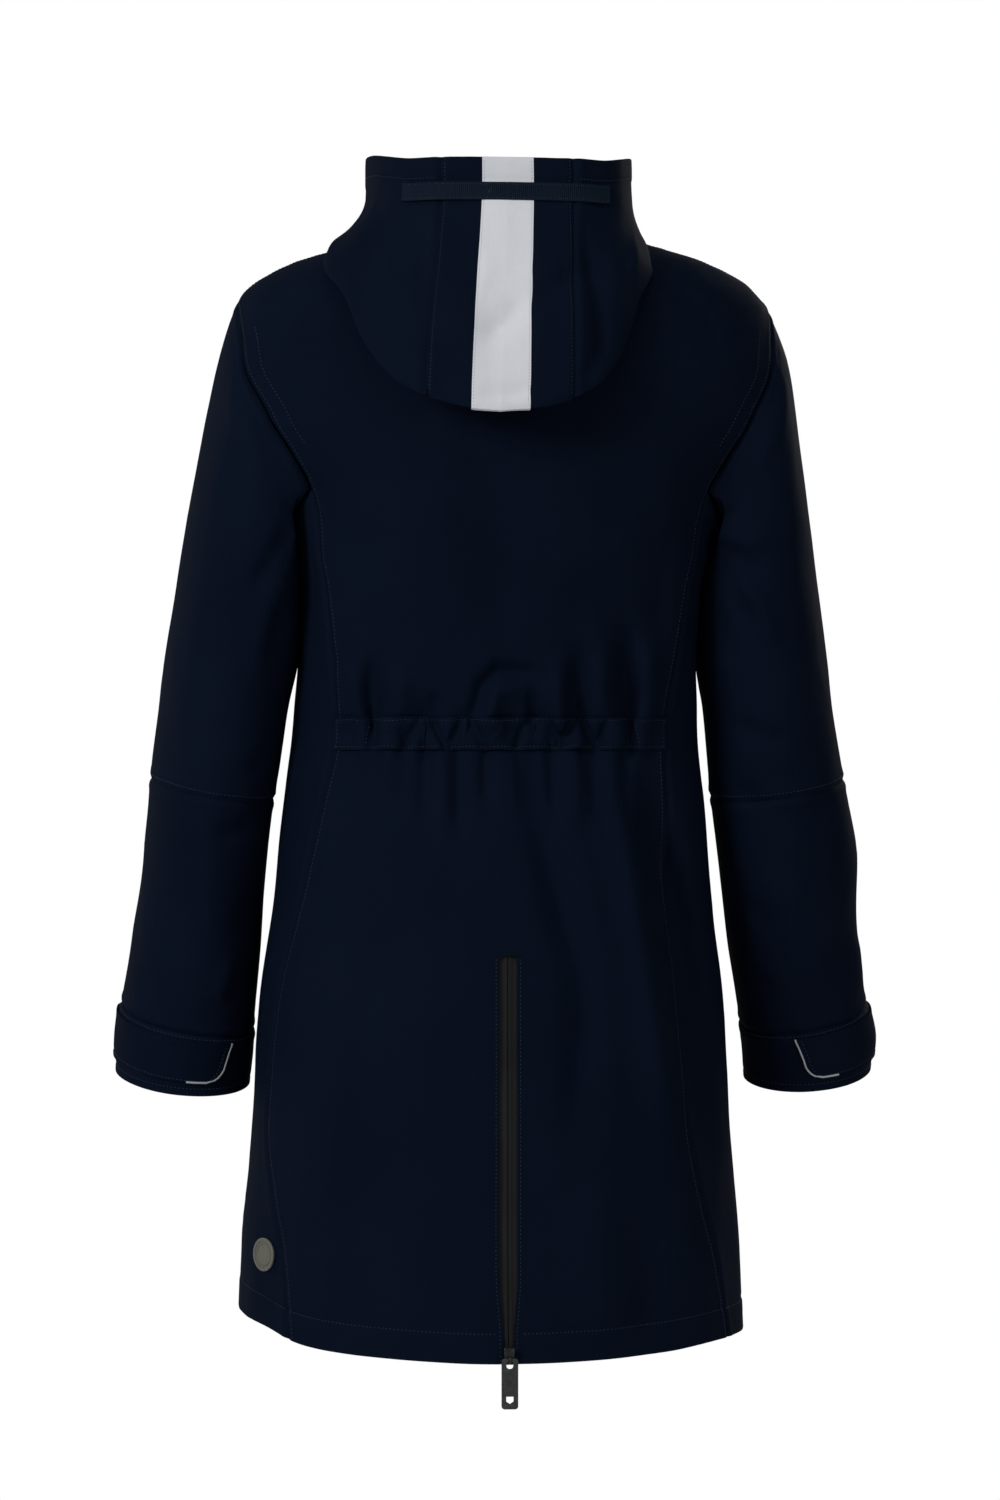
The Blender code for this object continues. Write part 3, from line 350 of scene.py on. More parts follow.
def offset_turn(level, offset):
    """The turn behind at which the cloth stands this far beside centre back. In front it is 180 less this."""
    return np.degrees(np.arcsin((offset / at(BODY, "half", level)) ** (at(BODY, "square", level) / 2)))


def edge_turn(level, side, hand):
    """The turn of a panel's outer edge: its seam below, the armhole above it, then the shoulder seam."""
    seam = np.abs(at(PRINCESS, hand, level)) if side == "back" else FRONT_SEAM_TURN
    seam = seam + (armhole_turn(side, UNDERARM) - seam) * ease(level, SIDE_SEAM[side], UNDERARM)
    return np.where(level > TIP, 90.0, np.where(level >= UNDERARM, armhole_turn(side, level), seam))


def between(stops, counts):
    """Levels from stop to stop, with this many steps in each stretch."""
    parts = [np.linspace(a, b, n, endpoint=False) for a, b, n in zip(stops, stops[1:], counts)]
    return np.concatenate(parts + [[stops[-1]]])


def shares(count, crowd=0.6):
    """Shares from 0 to 1, closer together at both ends, where the seams are."""
    t = np.linspace(0, 1, count + 1)
    return t - crowd * np.sin(2 * math.pi * t) / (2 * math.pi)


def spread(start, end, share):
    """Rows of turns from each row's start to its end."""
    return start[:, None] + (end - start)[:, None] * share


def outward(points, looped=False):
    """The outward direction at every point of a sheet."""
    if looped:
        open_points = points[:, :-1]
        along = np.roll(open_points, -1, 1) - np.roll(open_points, 1, 1)
        along = np.concatenate([along, along[:, :1]], axis=1)
    else:
        along = np.gradient(points, axis=1)
    n = np.cross(np.gradient(points, axis=0), along)
    return n / np.maximum(np.linalg.norm(n, axis=2, keepdims=True), 1e-12)


def run(points, axis):
    """Distance along the rows (axis 1) or along the columns (axis 0) of a sheet."""
    steps = np.linalg.norm(np.diff(points, axis=axis), axis=2)
    start = np.zeros_like(np.take(steps, [0], axis=axis))
    return np.concatenate([start, np.cumsum(steps, axis=axis)], axis=axis)


def from_edge(points, edge):
    """Distance of every point from one edge of its sheet."""
    along = run(points, 1 if edge in ("left", "right") else 0)
    if edge == "right":
        return along[:, -1:] - along
    return along[-1:] - along if edge == "top" else along


def uneven(points, scale, stretch=1.0):
    """Smooth irregular values from -1 to 1, longer up and down by the stretch."""
    flat = points.reshape(-1, 3) * (scale, scale, scale / stretch)
    return np.array([noise.noise(p) for p in flat.tolist()]).reshape(points.shape[:2])


def sewn(points, seams, looped=False, slack=0.0012):
    """The cloth as it is sewn: drawn down at its seams, puckered beside them and uneven between."""
    gap = np.full(points.shape[:2], 1.0)
    for edge in seams:
        gap = np.minimum(gap, from_edge(points, edge))
    push = slack * uneven(points, 13.0, 3.0) + slack * 0.4 * uneven(points, 42.0, 2.0)
    push += slack * 0.7 * (0.5 - np.abs(uneven(points, 24.0, 2.6)) * 2.2)
    push += 0.0006 * uneven(points, 120.0) * np.exp(-gap / 0.011)
    push += 0.0006 * np.exp(-((gap - 0.0055) / 0.0032) ** 2) - 0.0012 * np.exp(-(gap / 0.0020) ** 2)
    return points + outward(points, looped) * push[..., None]


def cloth_material(name, light, dark, weave=0.00055, roughness=0.72, specular=0.012):
    """Close-woven rain cloth: crossed threads and a fine grain in the bump, and a slow change of tone."""
    cloth = bpy.data.materials.new(name)
    cloth.use_nodes = True
    nodes, link = cloth.node_tree.nodes, cloth.node_tree.links.new
    shader = nodes["Principled BSDF"]
    shader.inputs["Specular IOR Level"].default_value = specular
    flat = nodes.new("ShaderNodeUVMap")
    flat.uv_map = "cut"
    tone = nodes.new("ShaderNodeTexNoise")
    tone.inputs["Scale"].default_value = 9.0
    tone.inputs["Detail"].default_value = 5.0
    link(flat.outputs["UV"], tone.inputs["Vector"])
    ramp = nodes.new("ShaderNodeValToRGB")
    ramp.color_ramp.elements[0].position, ramp.color_ramp.elements[1].position = 0.3, 0.7
    ramp.color_ramp.elements[0].color = (*dark, 1)
    ramp.color_ramp.elements[1].color = (*light, 1)
    link(tone.outputs["Fac"], ramp.inputs["Fac"])
    link(ramp.outputs["Color"], shader.inputs["Base Color"])
    dull = nodes.new("ShaderNodeMapRange")
    dull.inputs["To Min"].default_value = roughness - 0.06
    dull.inputs["To Max"].default_value = roughness + 0.08
    link(tone.outputs["Fac"], dull.inputs["Value"])
    link(dull.outputs["Result"], shader.inputs["Roughness"])
    # A band of the wave texture is this long at scale 1.
    wave_length = math.pi / 10
    crossed = nodes.new("ShaderNodeMath")
    crossed.operation = "ADD"
    for socket, direction in zip(crossed.inputs, ("X", "Y")):
        threads = nodes.new("ShaderNodeTexWave")
        threads.bands_direction = direction
        threads.inputs["Scale"].default_value = wave_length / weave
        threads.inputs["Distortion"].default_value = 1.0
        threads.inputs["Detail"].default_value = 1.0
        link(flat.outputs["UV"], threads.inputs["Vector"])
        link(threads.outputs["Fac"], socket)
    fine = nodes.new("ShaderNodeBump")
    fine.inputs["Strength"].default_value = 0.35
    fine.inputs["Distance"].default_value = 0.00012
    link(crossed.outputs["Value"], fine.inputs["Height"])
    crumple = nodes.new("ShaderNodeTexNoise")
    crumple.inputs["Scale"].default_value = 70.0
    crumple.inputs["Detail"].default_value = 4.0
    link(flat.outputs["UV"], crumple.inputs["Vector"])
    broad = nodes.new("ShaderNodeBump")
    broad.inputs["Strength"].default_value = 0.30
    broad.inputs["Distance"].default_value = 0.0016
    link(crumple.outputs["Fac"], broad.inputs["Height"])
    link(fine.outputs["Normal"], broad.inputs["Normal"])
    link(broad.outputs["Normal"], shader.inputs["Normal"])
    return cloth


def cloth_piece(name, points, material, thickness=WALL, looped=False, cut_away=None):
    """A sheet of cloth over the points, with its pattern in metres, given its thickness inwards."""
    rows, columns = points.shape[:2]
    bpy.ops.mesh.primitive_grid_add(x_subdivisions=columns - 1, y_subdivisions=rows - 1, size=1)
    piece = bpy.context.object
    piece.name = name
    mesh = piece.data
    turned = points[:, ::-1]
    mesh.vertices.foreach_set("co", turned.reshape(-1))
    across = run(turned, 1)
    across = across - across[:, columns // 2][:, None]
    up = run(turned, 0)
    flat = np.stack([across, up], axis=-1).reshape(-1, 2)
    mesh.uv_layers[0].name = "cut"
    corners = np.empty(len(mesh.loops), int)
    mesh.loops.foreach_get("vertex_index", corners)
    mesh.uv_layers[0].data.foreach_set("uv", flat[corners].reshape(-1))
    if cut_away is not None:
        bpy.ops.object.mode_set(mode="EDIT")
        bpy.ops.mesh.select_mode(type="FACE")
        bpy.ops.object.mode_set(mode="OBJECT")
        mesh.polygons.foreach_set("select", cut_away[:, ::-1].reshape(-1))
        bpy.ops.object.mode_set(mode="EDIT")
        bpy.ops.mesh.delete(type="FACE")
        bpy.ops.object.mode_set(mode="OBJECT")
    if looped:
        bpy.ops.object.mode_set(mode="EDIT")
        bpy.ops.mesh.select_all(action="SELECT")
        bpy.ops.mesh.remove_doubles(threshold=1e-5)
        bpy.ops.object.mode_set(mode="OBJECT")
    wall = piece.modifiers.new("wall", "SOLIDIFY")
    wall.thickness = thickness
    wall.offset = -1
    bpy.ops.object.modifier_apply(modifier="wall")
    bpy.ops.object.shade_smooth_by_angle(angle=math.radians(50))
    mesh.materials.append(material)
    piece.select_set(False)
    return piece


def distances(line):
    """Distance of every point of a line from its start."""
    return np.concatenate([[0], np.cumsum(np.linalg.norm(np.diff(line, axis=0), axis=1))])


def on_line(place, along, line):
    """The points of a line at these places, given where each of its own points is along it."""
    return np.stack([np.interp(place, along, line[:, k]) for k in range(3)], axis=-1)


def beside_edge(points, edge, distance, start=0.0, end=1.0):
    """A line on a sheet at this distance from one of its edges, and the outward directions along it."""
    away = from_edge(points, edge)
    normals = outward(points)
    if edge in ("top", "bottom"):
        points, normals, away = (part.swapaxes(0, 1) for part in (points, normals, away))
    if edge in ("top", "right"):
        points, normals, away = (part[:, ::-1] for part in (points, normals, away))
    count = len(points)
    kept = range(int(round(start * (count - 1))), int(round(end * (count - 1))) + 1)
    return [np.array([on_line(distance, away[i], part[i]) for i in kept]) for part in (points, normals)]


def thread_material(name, colour):
    """Sewing thread: twisted strands, darker and lighter by turns, with a little shine."""
    dark, light = ([c * share for c in colour] for share in (0.6, 1.5))
    return speckled_material(name, dark, light, grain=1800.0, roughness=0.45, specular=0.25, relief=0.0002)


def stitches(name, lines, material, pitch=0.0031, length=0.0023, width=0.0006, height=0.0003):
    """Rows of stitches along lines on the cloth: one eight-faced stitch repeated, all joined in one mesh."""
    ends = np.array([(-0.5, 0, -0.3), (0.5, 0, -0.3), (0, 0.5, 0), (0, -0.5, 0), (0, 0, 1), (0, 0, -1)])
    sides = [(1, 2, 4), (2, 0, 4), (0, 3, 4), (3, 1, 4), (2, 1, 5), (0, 2, 5), (3, 0, 5), (1, 3, 5)]
    vertices, faces = [], []
    for line, lean in lines:
        along = distances(line)
        for middle in np.arange(pitch, along[-1] - pitch / 2, pitch):
            a, b = (on_line(middle + d, along, line) for d in (-length / 2, length / 2))
            n = on_line(middle, along, lean)
            n /= np.linalg.norm(n)
            forward = (b - a) / max(np.linalg.norm(b - a), 1e-9)
            side = np.cross(n, forward)
            first = len(vertices)
            vertices.extend((a + b) / 2 + forward * length * e[0] + side * width * e[1] + n * height * e[2]
                            for e in ends)
            faces.extend([tuple(first + i for i in face) for face in sides])
    mesh = bpy.data.meshes.new(name)
    mesh.from_pydata([tuple(v) for v in vertices], [], faces)
    mesh.shade_smooth()
    mesh.materials.append(material)
    row = bpy.data.objects.new(name, mesh)
    bpy.context.scene.collection.objects.link(row)
    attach(row, "coat")
    return row


navy = cloth_material("navy_rain_cloth", (0.0020, 0.0040, 0.0098), (0.0014, 0.0031, 0.0080))
navy_thread = thread_material("navy_thread", (0.012, 0.018, 0.032))

# Near the hem the cloth's folded edges close in over the zip; at the top of the slit its corners are round.
SLOT_CORNER = 0.004
back_levels = between(
    (HEM, -0.860, -0.80, VENT_TOP - 0.006, VENT_TOP, -0.425, -0.375, -0.33, UNDERARM, TIP, NAPE),
    (12, 18, 62, 8, 40, 28, 16, 30, 42, 30))
to_top = np.clip((back_levels - (VENT_TOP - SLOT_CORNER)) / SLOT_CORNER, 0, 1)
slot_half = (0.0043 + 0.0030 * ease(back_levels, -0.868, -0.815)) - 0.0030 * (1 - np.sqrt(1 - to_top ** 2))
slot_turn = offset_turn(back_levels, slot_half)
half_shares = shares(64)
right_half = spread(-edge_turn(back_levels, "back", "right"), -slot_turn, half_shares)
left_half = spread(slot_turn, edge_turn(back_levels, "back", "left"), half_shares)
back_turns = np.concatenate([right_half, left_half], axis=1)
back_cloth = body_point(back_turns, back_levels[:, None])


def waist_gathers(points):
    """Small puckers that the gathered channel makes in the cloth just above and below itself."""
    x, z = points[..., 0], points[..., 2]
    inside = ease(x, -0.124, -0.100) * (1 - ease(x, 0.128, 0.150))
    near = np.exp(-np.maximum(np.abs(z + 0.399) - 0.011, 0) / 0.011)
    lines = np.stack([x * 95, z * 9, np.zeros_like(x)], axis=-1)
    ripple = np.array([noise.noise(p) for p in lines.reshape(-1, 3).tolist()]).reshape(x.shape)
    return 0.0052 * ripple * near * inside


def hem_fold(points):
    """The turned-up hem: a little thicker, with a groove where it is stitched."""
    up = from_edge(points, "bottom")
    groove = np.exp(-((up - HEM_DEPTH) / 0.0014) ** 2)
    return 0.0005 * (1 - ease(up, HEM_DEPTH - 0.002, HEM_DEPTH)) - 0.0005 * groove


def stand_out(points, rise):
    """The sheet moved outwards by each point's rise."""
    return points + outward(points) * rise[..., None]


back_cloth = stand_out(back_cloth, waist_gathers(back_cloth))
slit = np.zeros((len(back_levels) - 1, back_turns.shape[1] - 1), bool)
slit[back_levels[:-1] < VENT_TOP - 1e-6, len(half_shares) - 1] = True
back_cloth = stand_out(sewn(back_cloth, ("left", "right", "top")), hem_fold(back_cloth))
back_piece = cloth_piece("back_panel", back_cloth, navy, cut_away=slit)
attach(back_piece, "coat")
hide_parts("back")

right_edge_of_back = back_cloth[:, :len(half_shares)]
left_edge_of_back = back_cloth[:, len(half_shares):]
vent_rows = int((back_levels < VENT_TOP).sum())
stitches("back_stitching", [
    beside_edge(back_cloth, "left", SEAM_STITCH, 0.0, 0.985),
    beside_edge(back_cloth, "right", SEAM_STITCH, 0.0, 0.985),
    beside_edge(back_cloth, "left", FACING_DEPTH, 0.78, 0.87),
    beside_edge(back_cloth, "right", FACING_DEPTH, 0.78, 0.87),
    beside_edge(right_edge_of_back, "bottom", HEM_DEPTH, 0.0, 0.97),
    beside_edge(left_edge_of_back, "bottom", HEM_DEPTH, 0.03, 1.0),
    beside_edge(right_edge_of_back[:vent_rows + 1], "right", EDGE_STITCH),
    beside_edge(left_edge_of_back[:vent_rows + 1], "left", EDGE_STITCH)], navy_thread)

# ---------------------------------------------------------------- the sides
# A narrow side panel on each side runs from the underarm to the hem, between the back's princess seam
# and the front. It is of the same cloth, seamed on both edges.

side_levels = between((HEM, -0.860, -0.74, -0.36, UNDERARM), (10, 30, 85, 42))
for hand, sign in (("left", 1), ("right", -1)):
    turns = spread(edge_turn(side_levels, "back", hand), edge_turn(side_levels, "front", hand), shares(38))
    turns = turns if hand == "left" else -turns[:, ::-1]
    side_cloth = body_point(turns, side_levels[:, None])
    side_cloth = stand_out(sewn(side_cloth, ("left", "right", "top")), hem_fold(side_cloth))
    side_piece = cloth_piece("side_panel_" + hand, side_cloth, navy)
    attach(side_piece, "coat")
    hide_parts("side_" + hand)
    stitches("side_stitching_" + hand, [beside_edge(side_cloth, "bottom", HEM_DEPTH)], navy_thread)
    if hand == "left":
        left_side_cloth = side_cloth

# ---------------------------------------------------------------- the fronts
# Two fronts of the same cloth meet at the front zip. Each is seamed to its side panel, the sleeve, the
# back at the shoulder and the hood at the neck; the edge at the zip is folded and stitched.

front_levels = between((HEM, -0.860, -0.40, UNDERARM, TIP, NAPE), (10, 110, 50, 42, 30))
for hand in ("left", "right"):
    zip_edge = 180 - offset_turn(front_levels, ZIP_HALF)
    turns = spread(edge_turn(front_levels, "front", hand), zip_edge, shares(56))
    turns = turns if hand == "left" else -turns[:, ::-1]
    front_cloth = body_point(turns, front_levels[:, None])
    seamed, opening = ("left", "right") if hand == "left" else ("right", "left")
    front_cloth = stand_out(sewn(front_cloth, (seamed, "top")), hem_fold(front_cloth))
    front_piece = cloth_piece("front_panel_" + hand, front_cloth, navy)
    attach(front_piece, "coat")
    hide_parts("front_" + hand)
    stitches("front_stitching_" + hand, [
        beside_edge(front_cloth, seamed, SEAM_STITCH, 0.0, 0.985),
        beside_edge(front_cloth, "bottom", HEM_DEPTH),
        beside_edge(front_cloth, opening, EDGE_STITCH),
        beside_edge(front_cloth, opening, 0.0085)], navy_thread)

# ---------------------------------------------------------------- the sleeves
# Each sleeve is a tube set into the armhole, made in an upper and a lower part seamed round the elbow.
# The cloth gathers in soft creases under the arm, at the bend of the elbow and above the cuff.

# Sleeve sections: the outer and the inner point of each (height, and reach from the centre on each side),
# half its depth, how far forward its centre is, how much its back edge drops and how far it still follows
# the armhole's own outline.
SLEEVE = table("out_z out_left out_right in_z in_left in_right depth forward drop cap", [
    (-0.050, 0.2110, 0.2110, -0.2400, 0.1680, 0.1680, 0.0670, 0.000, 0, 1.00),
    (-0.070, 0.2190, 0.2190, -0.2425, 0.1765, 0.1755, 0.0690, 0.000, 0, 0.90),
    (-0.096, 0.2262, 0.2272, -0.2500, 0.1730, 0.1710, 0.0700, 0.000, 0, 0.65),
    (-0.135, 0.2345, 0.2340, -0.2700, 0.1620, 0.1585, 0.0700, 0.001, 1, 0.35),
    (-0.190, 0.2450, 0.2420, -0.3020, 0.1610, 0.1550, 0.0690, 0.002, 2, 0.10),
    (-0.250, 0.2565, 0.2500, -0.3400, 0.1640, 0.1560, 0.0675, 0.003, 3, 0),
    (-0.315, 0.2665, 0.2590, -0.3780, 0.1725, 0.1620, 0.0655, 0.005, 4, 0),
    (-0.375, 0.2745, 0.2660, -0.4180, 0.1785, 0.1660, 0.0635, 0.008, 6, 0),
    (-0.434, 0.2820, 0.2765, -0.4500, 0.1830, 0.1695, 0.0620, 0.012, 8, 0),
    (-0.500, 0.2870, 0.2890, -0.5120, 0.1900, 0.1775, 0.0590, 0.020, 11, 0),
    (-0.560, 0.2950, 0.2910, -0.5740, 0.1935, 0.1870, 0.0550, 0.030, 13, 0),
    (-0.616, 0.3040, 0.3010, -0.6340, 0.1975, 0.1975, 0.0510, 0.041, 15, 0),
    (-0.644, 0.3070, 0.3070, -0.6560, 0.1990, 0.2010, 0.0500, 0.046, 16, 0),
    (-0.669, 0.3075, 0.3050, -0.6780, 0.2010, 0.2025, 0.0485, 0.050, 16, 0)])
ELBOW_OUT, CUFF_OUT, SLEEVE_END = -0.434, -0.616, -0.669      # outer heights of the seams and of the end
SLEEVE_COLUMNS = 96

# Creases of the sleeves behind and in front, as on the body.
SLEEVE_FOLDS = {
    ("left", "back"): [
        ([(0.172, -0.235), (0.186, -0.262), (0.204, -0.290)], 0.008, -0.0040),
        ([(0.172, -0.262), (0.190, -0.300), (0.198, -0.350)], 0.009, 0.0035),
        ([(0.176, -0.300), (0.190, -0.345)], 0.008, -0.0035),
        ([(0.226, -0.160), (0.238, -0.250), (0.244, -0.340)], 0.016, 0.0022),
        ([(0.212, -0.170), (0.222, -0.270)], 0.012, -0.0022),
        ([(0.184, -0.410), (0.205, -0.432)], 0.007, -0.0028),
        ([(0.186, -0.455), (0.212, -0.476), (0.236, -0.480)], 0.008, -0.0030),
        ([(0.240, -0.460), (0.236, -0.540)], 0.014, 0.0024),
        ([(0.196, -0.520), (0.214, -0.560)], 0.009, -0.0028),
        ([(0.270, -0.520), (0.262, -0.590)], 0.012, -0.0020),
        ([(0.202, -0.590), (0.222, -0.612)], 0.006, -0.0028),
        ([(0.218, -0.575), (0.228, -0.615)], 0.007, 0.0020),
        ([(0.288, -0.585), (0.284, -0.612)], 0.006, -0.0018)],
    ("right", "back"): [
        ([(-0.160, -0.250), (-0.180, -0.262), (-0.204, -0.276)], 0.0075, -0.0048),
        ([(-0.164, -0.256), (-0.178, -0.285), (-0.192, -0.322)], 0.008, -0.0050),
        ([(-0.166, -0.242), (-0.186, -0.246), (-0.208, -0.246)], 0.007, 0.0030),
        ([(-0.172, -0.272), (-0.196, -0.296), (-0.212, -0.330)], 0.008, 0.0036),
        ([(-0.168, -0.300), (-0.176, -0.345)], 0.007, -0.0035),
        ([(-0.163, -0.232), (-0.180, -0.222)], 0.006, -0.0030),
        ([(-0.214, -0.150), (-0.226, -0.240), (-0.232, -0.330)], 0.016, 0.0022),
        ([(-0.178, -0.390), (-0.206, -0.404), (-0.226, -0.402)], 0.008, -0.0030),
        ([(-0.184, -0.440), (-0.208, -0.462)], 0.007, -0.0030),
        ([(-0.240, -0.448), (-0.262, -0.462)], 0.008, -0.0022),
        ([(-0.228, -0.470), (-0.232, -0.550)], 0.014, 0.0026),
        ([(-0.192, -0.530), (-0.214, -0.556)], 0.008, -0.0028),
        ([(-0.200, -0.590), (-0.218, -0.610)], 0.006, -0.0028),
        ([(-0.268, -0.560), (-0.262, -0.606)], 0.010, -0.0022),
        ([(-0.288, -0.560), (-0.292, -0.606)], 0.008, 0.0020)],
    ("left", "front"): [
        ([(0.176, -0.240), (0.196, -0.264), (0.214, -0.272)], 0.008, -0.0042),
        ([(0.176, -0.280), (0.196, -0.320)], 0.009, -0.0040),
        ([(0.192, -0.420), (0.222, -0.430), (0.250, -0.424)], 0.008, -0.0040),
        ([(0.194, -0.450), (0.224, -0.462)], 0.008, 0.0030),
        ([(0.196, -0.478), (0.226, -0.488), (0.252, -0.484)], 0.008, -0.0036),
        ([(0.236, -0.520), (0.250, -0.590)], 0.012, -0.0026),
        ([(0.210, -0.596), (0.232, -0.610)], 0.006, -0.0026)],
    ("right", "front"): [
        ([(-0.172, -0.242), (-0.192, -0.262), (-0.212, -0.268)], 0.008, -0.0042),
        ([(-0.174, -0.286), (-0.190, -0.330)], 0.009, -0.0040),
        ([(-0.186, -0.414), (-0.216, -0.428), (-0.246, -0.420)], 0.008, -0.0040),
        ([(-0.190, -0.446), (-0.220, -0.458)], 0.008, 0.0030),
        ([(-0.192, -0.476), (-0.222, -0.492), (-0.250, -0.482)], 0.008, -0.0036),
        ([(-0.240, -0.530), (-0.252, -0.596)], 0.012, -0.0026),
        ([(-0.208, -0.590), (-0.234, -0.608)], 0.006, -0.0026)]}


def armhole_ring(hand, around):
    """The armhole's edge, from the shoulder tip down behind (half a turn) and up again in front."""
    sign = 1 if hand == "left" else -1
    levels = np.linspace(TIP, UNDERARM, 40)
    behind = body_point(sign * armhole_turn("back", levels), levels)
    side = np.linspace(armhole_turn("back", UNDERARM), armhole_turn("front", UNDERARM), 41)
    under = body_point(sign * side, UNDERARM)
    before = body_point(sign * armhole_turn("front", levels[::-1]), levels[::-1])
    ring = np.vstack([behind, under[1:], before[1:]])
    along = distances(ring)
    bottom = along[len(behind) - 1 + 20]
    angle = np.where(along <= bottom, along / bottom * math.pi,
                     math.pi + (along - bottom) / (along[-1] - bottom) * math.pi)
    return on_line(around, angle, ring)


def sleeve_sheet(hand, heights):
    """Rings of the sleeve at these outer heights, from the lowest up."""
    sign = 1 if hand == "left" else -1
    around = np.linspace(0, 2 * math.pi, SLEEVE_COLUMNS + 1)
    value = {column: at(SLEEVE, column, heights)[:, None] for column in list(SLEEVE)[1:]}

    def oval(v, height):
        out = np.stack([sign * v["out_" + hand], -v["forward"], height], axis=-1)
        inn = np.stack([sign * v["in_" + hand], -v["forward"], v["in_z"]], axis=-1)
        tilt = np.radians(v["drop"])
        back = np.stack([0 * tilt, v["depth"] * np.cos(tilt), -v["depth"] * np.sin(tilt)], axis=-1)
        c, s = np.cos(around)[None, :, None], np.sin(around)[None, :, None]
        return (out + inn) / 2 + (out - inn) / 2 * c + back * s

    first = {column: at(SLEEVE, column, np.array([TIP]))[:, None] for column in list(SLEEVE)[1:]}
    own = armhole_ring(hand, around)[None] - oval(first, np.array([[TIP]]))
    points = oval(value, heights[:, None]) + own * value["cap"][..., None]
    centre = points.mean(axis=1, keepdims=True)
    out = points - centre
    out /= np.linalg.norm(out, axis=2, keepdims=True)
    behind = ease(out[..., 1], -0.05, 0.35)
    ahead = ease(-out[..., 1], -0.05, 0.35)
    push = folded(points[..., 0], points[..., 2], SLEEVE_FOLDS[hand, "back"]) * behind
    push += folded(points[..., 0], points[..., 2], SLEEVE_FOLDS[hand, "front"]) * ahead
    push *= ease(-heights, -TIP, -TIP + 0.02)[:, None]
    points = points + out * push[..., None]
    return points[:, ::-1] if hand == "left" else points


upper_heights = between((ELBOW_OUT, -0.25, -0.096, TIP), (52, 56, 26))
lower_heights = between((CUFF_OUT, -0.60, ELBOW_OUT), (10, 56))
for hand in ("left", "right"):
    sleeve_lines = []
    for part, heights, flat, area in (("upper", upper_heights, (0.42, 0.46), 0.135),
                                      ("lower", lower_heights, (0.33, 0.20), 0.053)):
        sleeve_cloth = sewn(sleeve_sheet(hand, heights), ("bottom", "top"), looped=True)
        sleeve_piece = cloth_piece(f"sleeve_{part}_{hand}", sleeve_cloth, navy, looped=True)
        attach(sleeve_piece, "coat")
        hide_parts(f"sleeve_{part}_{hand}")
        if part == "upper":
            sleeve_lines.append(beside_edge(sleeve_cloth, "bottom", 0.005))
    stitches("sleeve_stitching_" + hand, sleeve_lines, navy_thread)

# ---------------------------------------------------------------- the cuffs
# A straight band finishes each sleeve, turned up and stitched along both edges. A tab sewn in at its outer
# side closes over it with hook tape, and a silver reflective piping edges the tab's free end.

cuff_heights = between((SLEEVE_END, CUFF_OUT), (30,))
CUFF_PROUD = 0.0008
# A tab's two ends, as turns round the cuff from its outer point to behind.
TAB_TURNS = {"left": (-38.0, 128.0), "right": (-38.0, 106.0)}
TAB_FROM_TOP, TAB_FROM_END = 0.004, 0.012
TAB_ROWS, TAB_COLUMNS = 19, 61
TAB_WALL, TAB_LIFT = 0.0012, 0.0006
TAB_CORNER, TAB_SLANT = 0.012, 0.008
CUFF_STITCH, TAB_STITCH = 0.006, 0.0045
PIPING_RADIUS = 0.0009
piping_silver = speckled_material("silver_piping_film", (0.14, 0.145, 0.155), (0.24, 0.245, 0.26),
                                  grain=900.0, roughness=0.35)

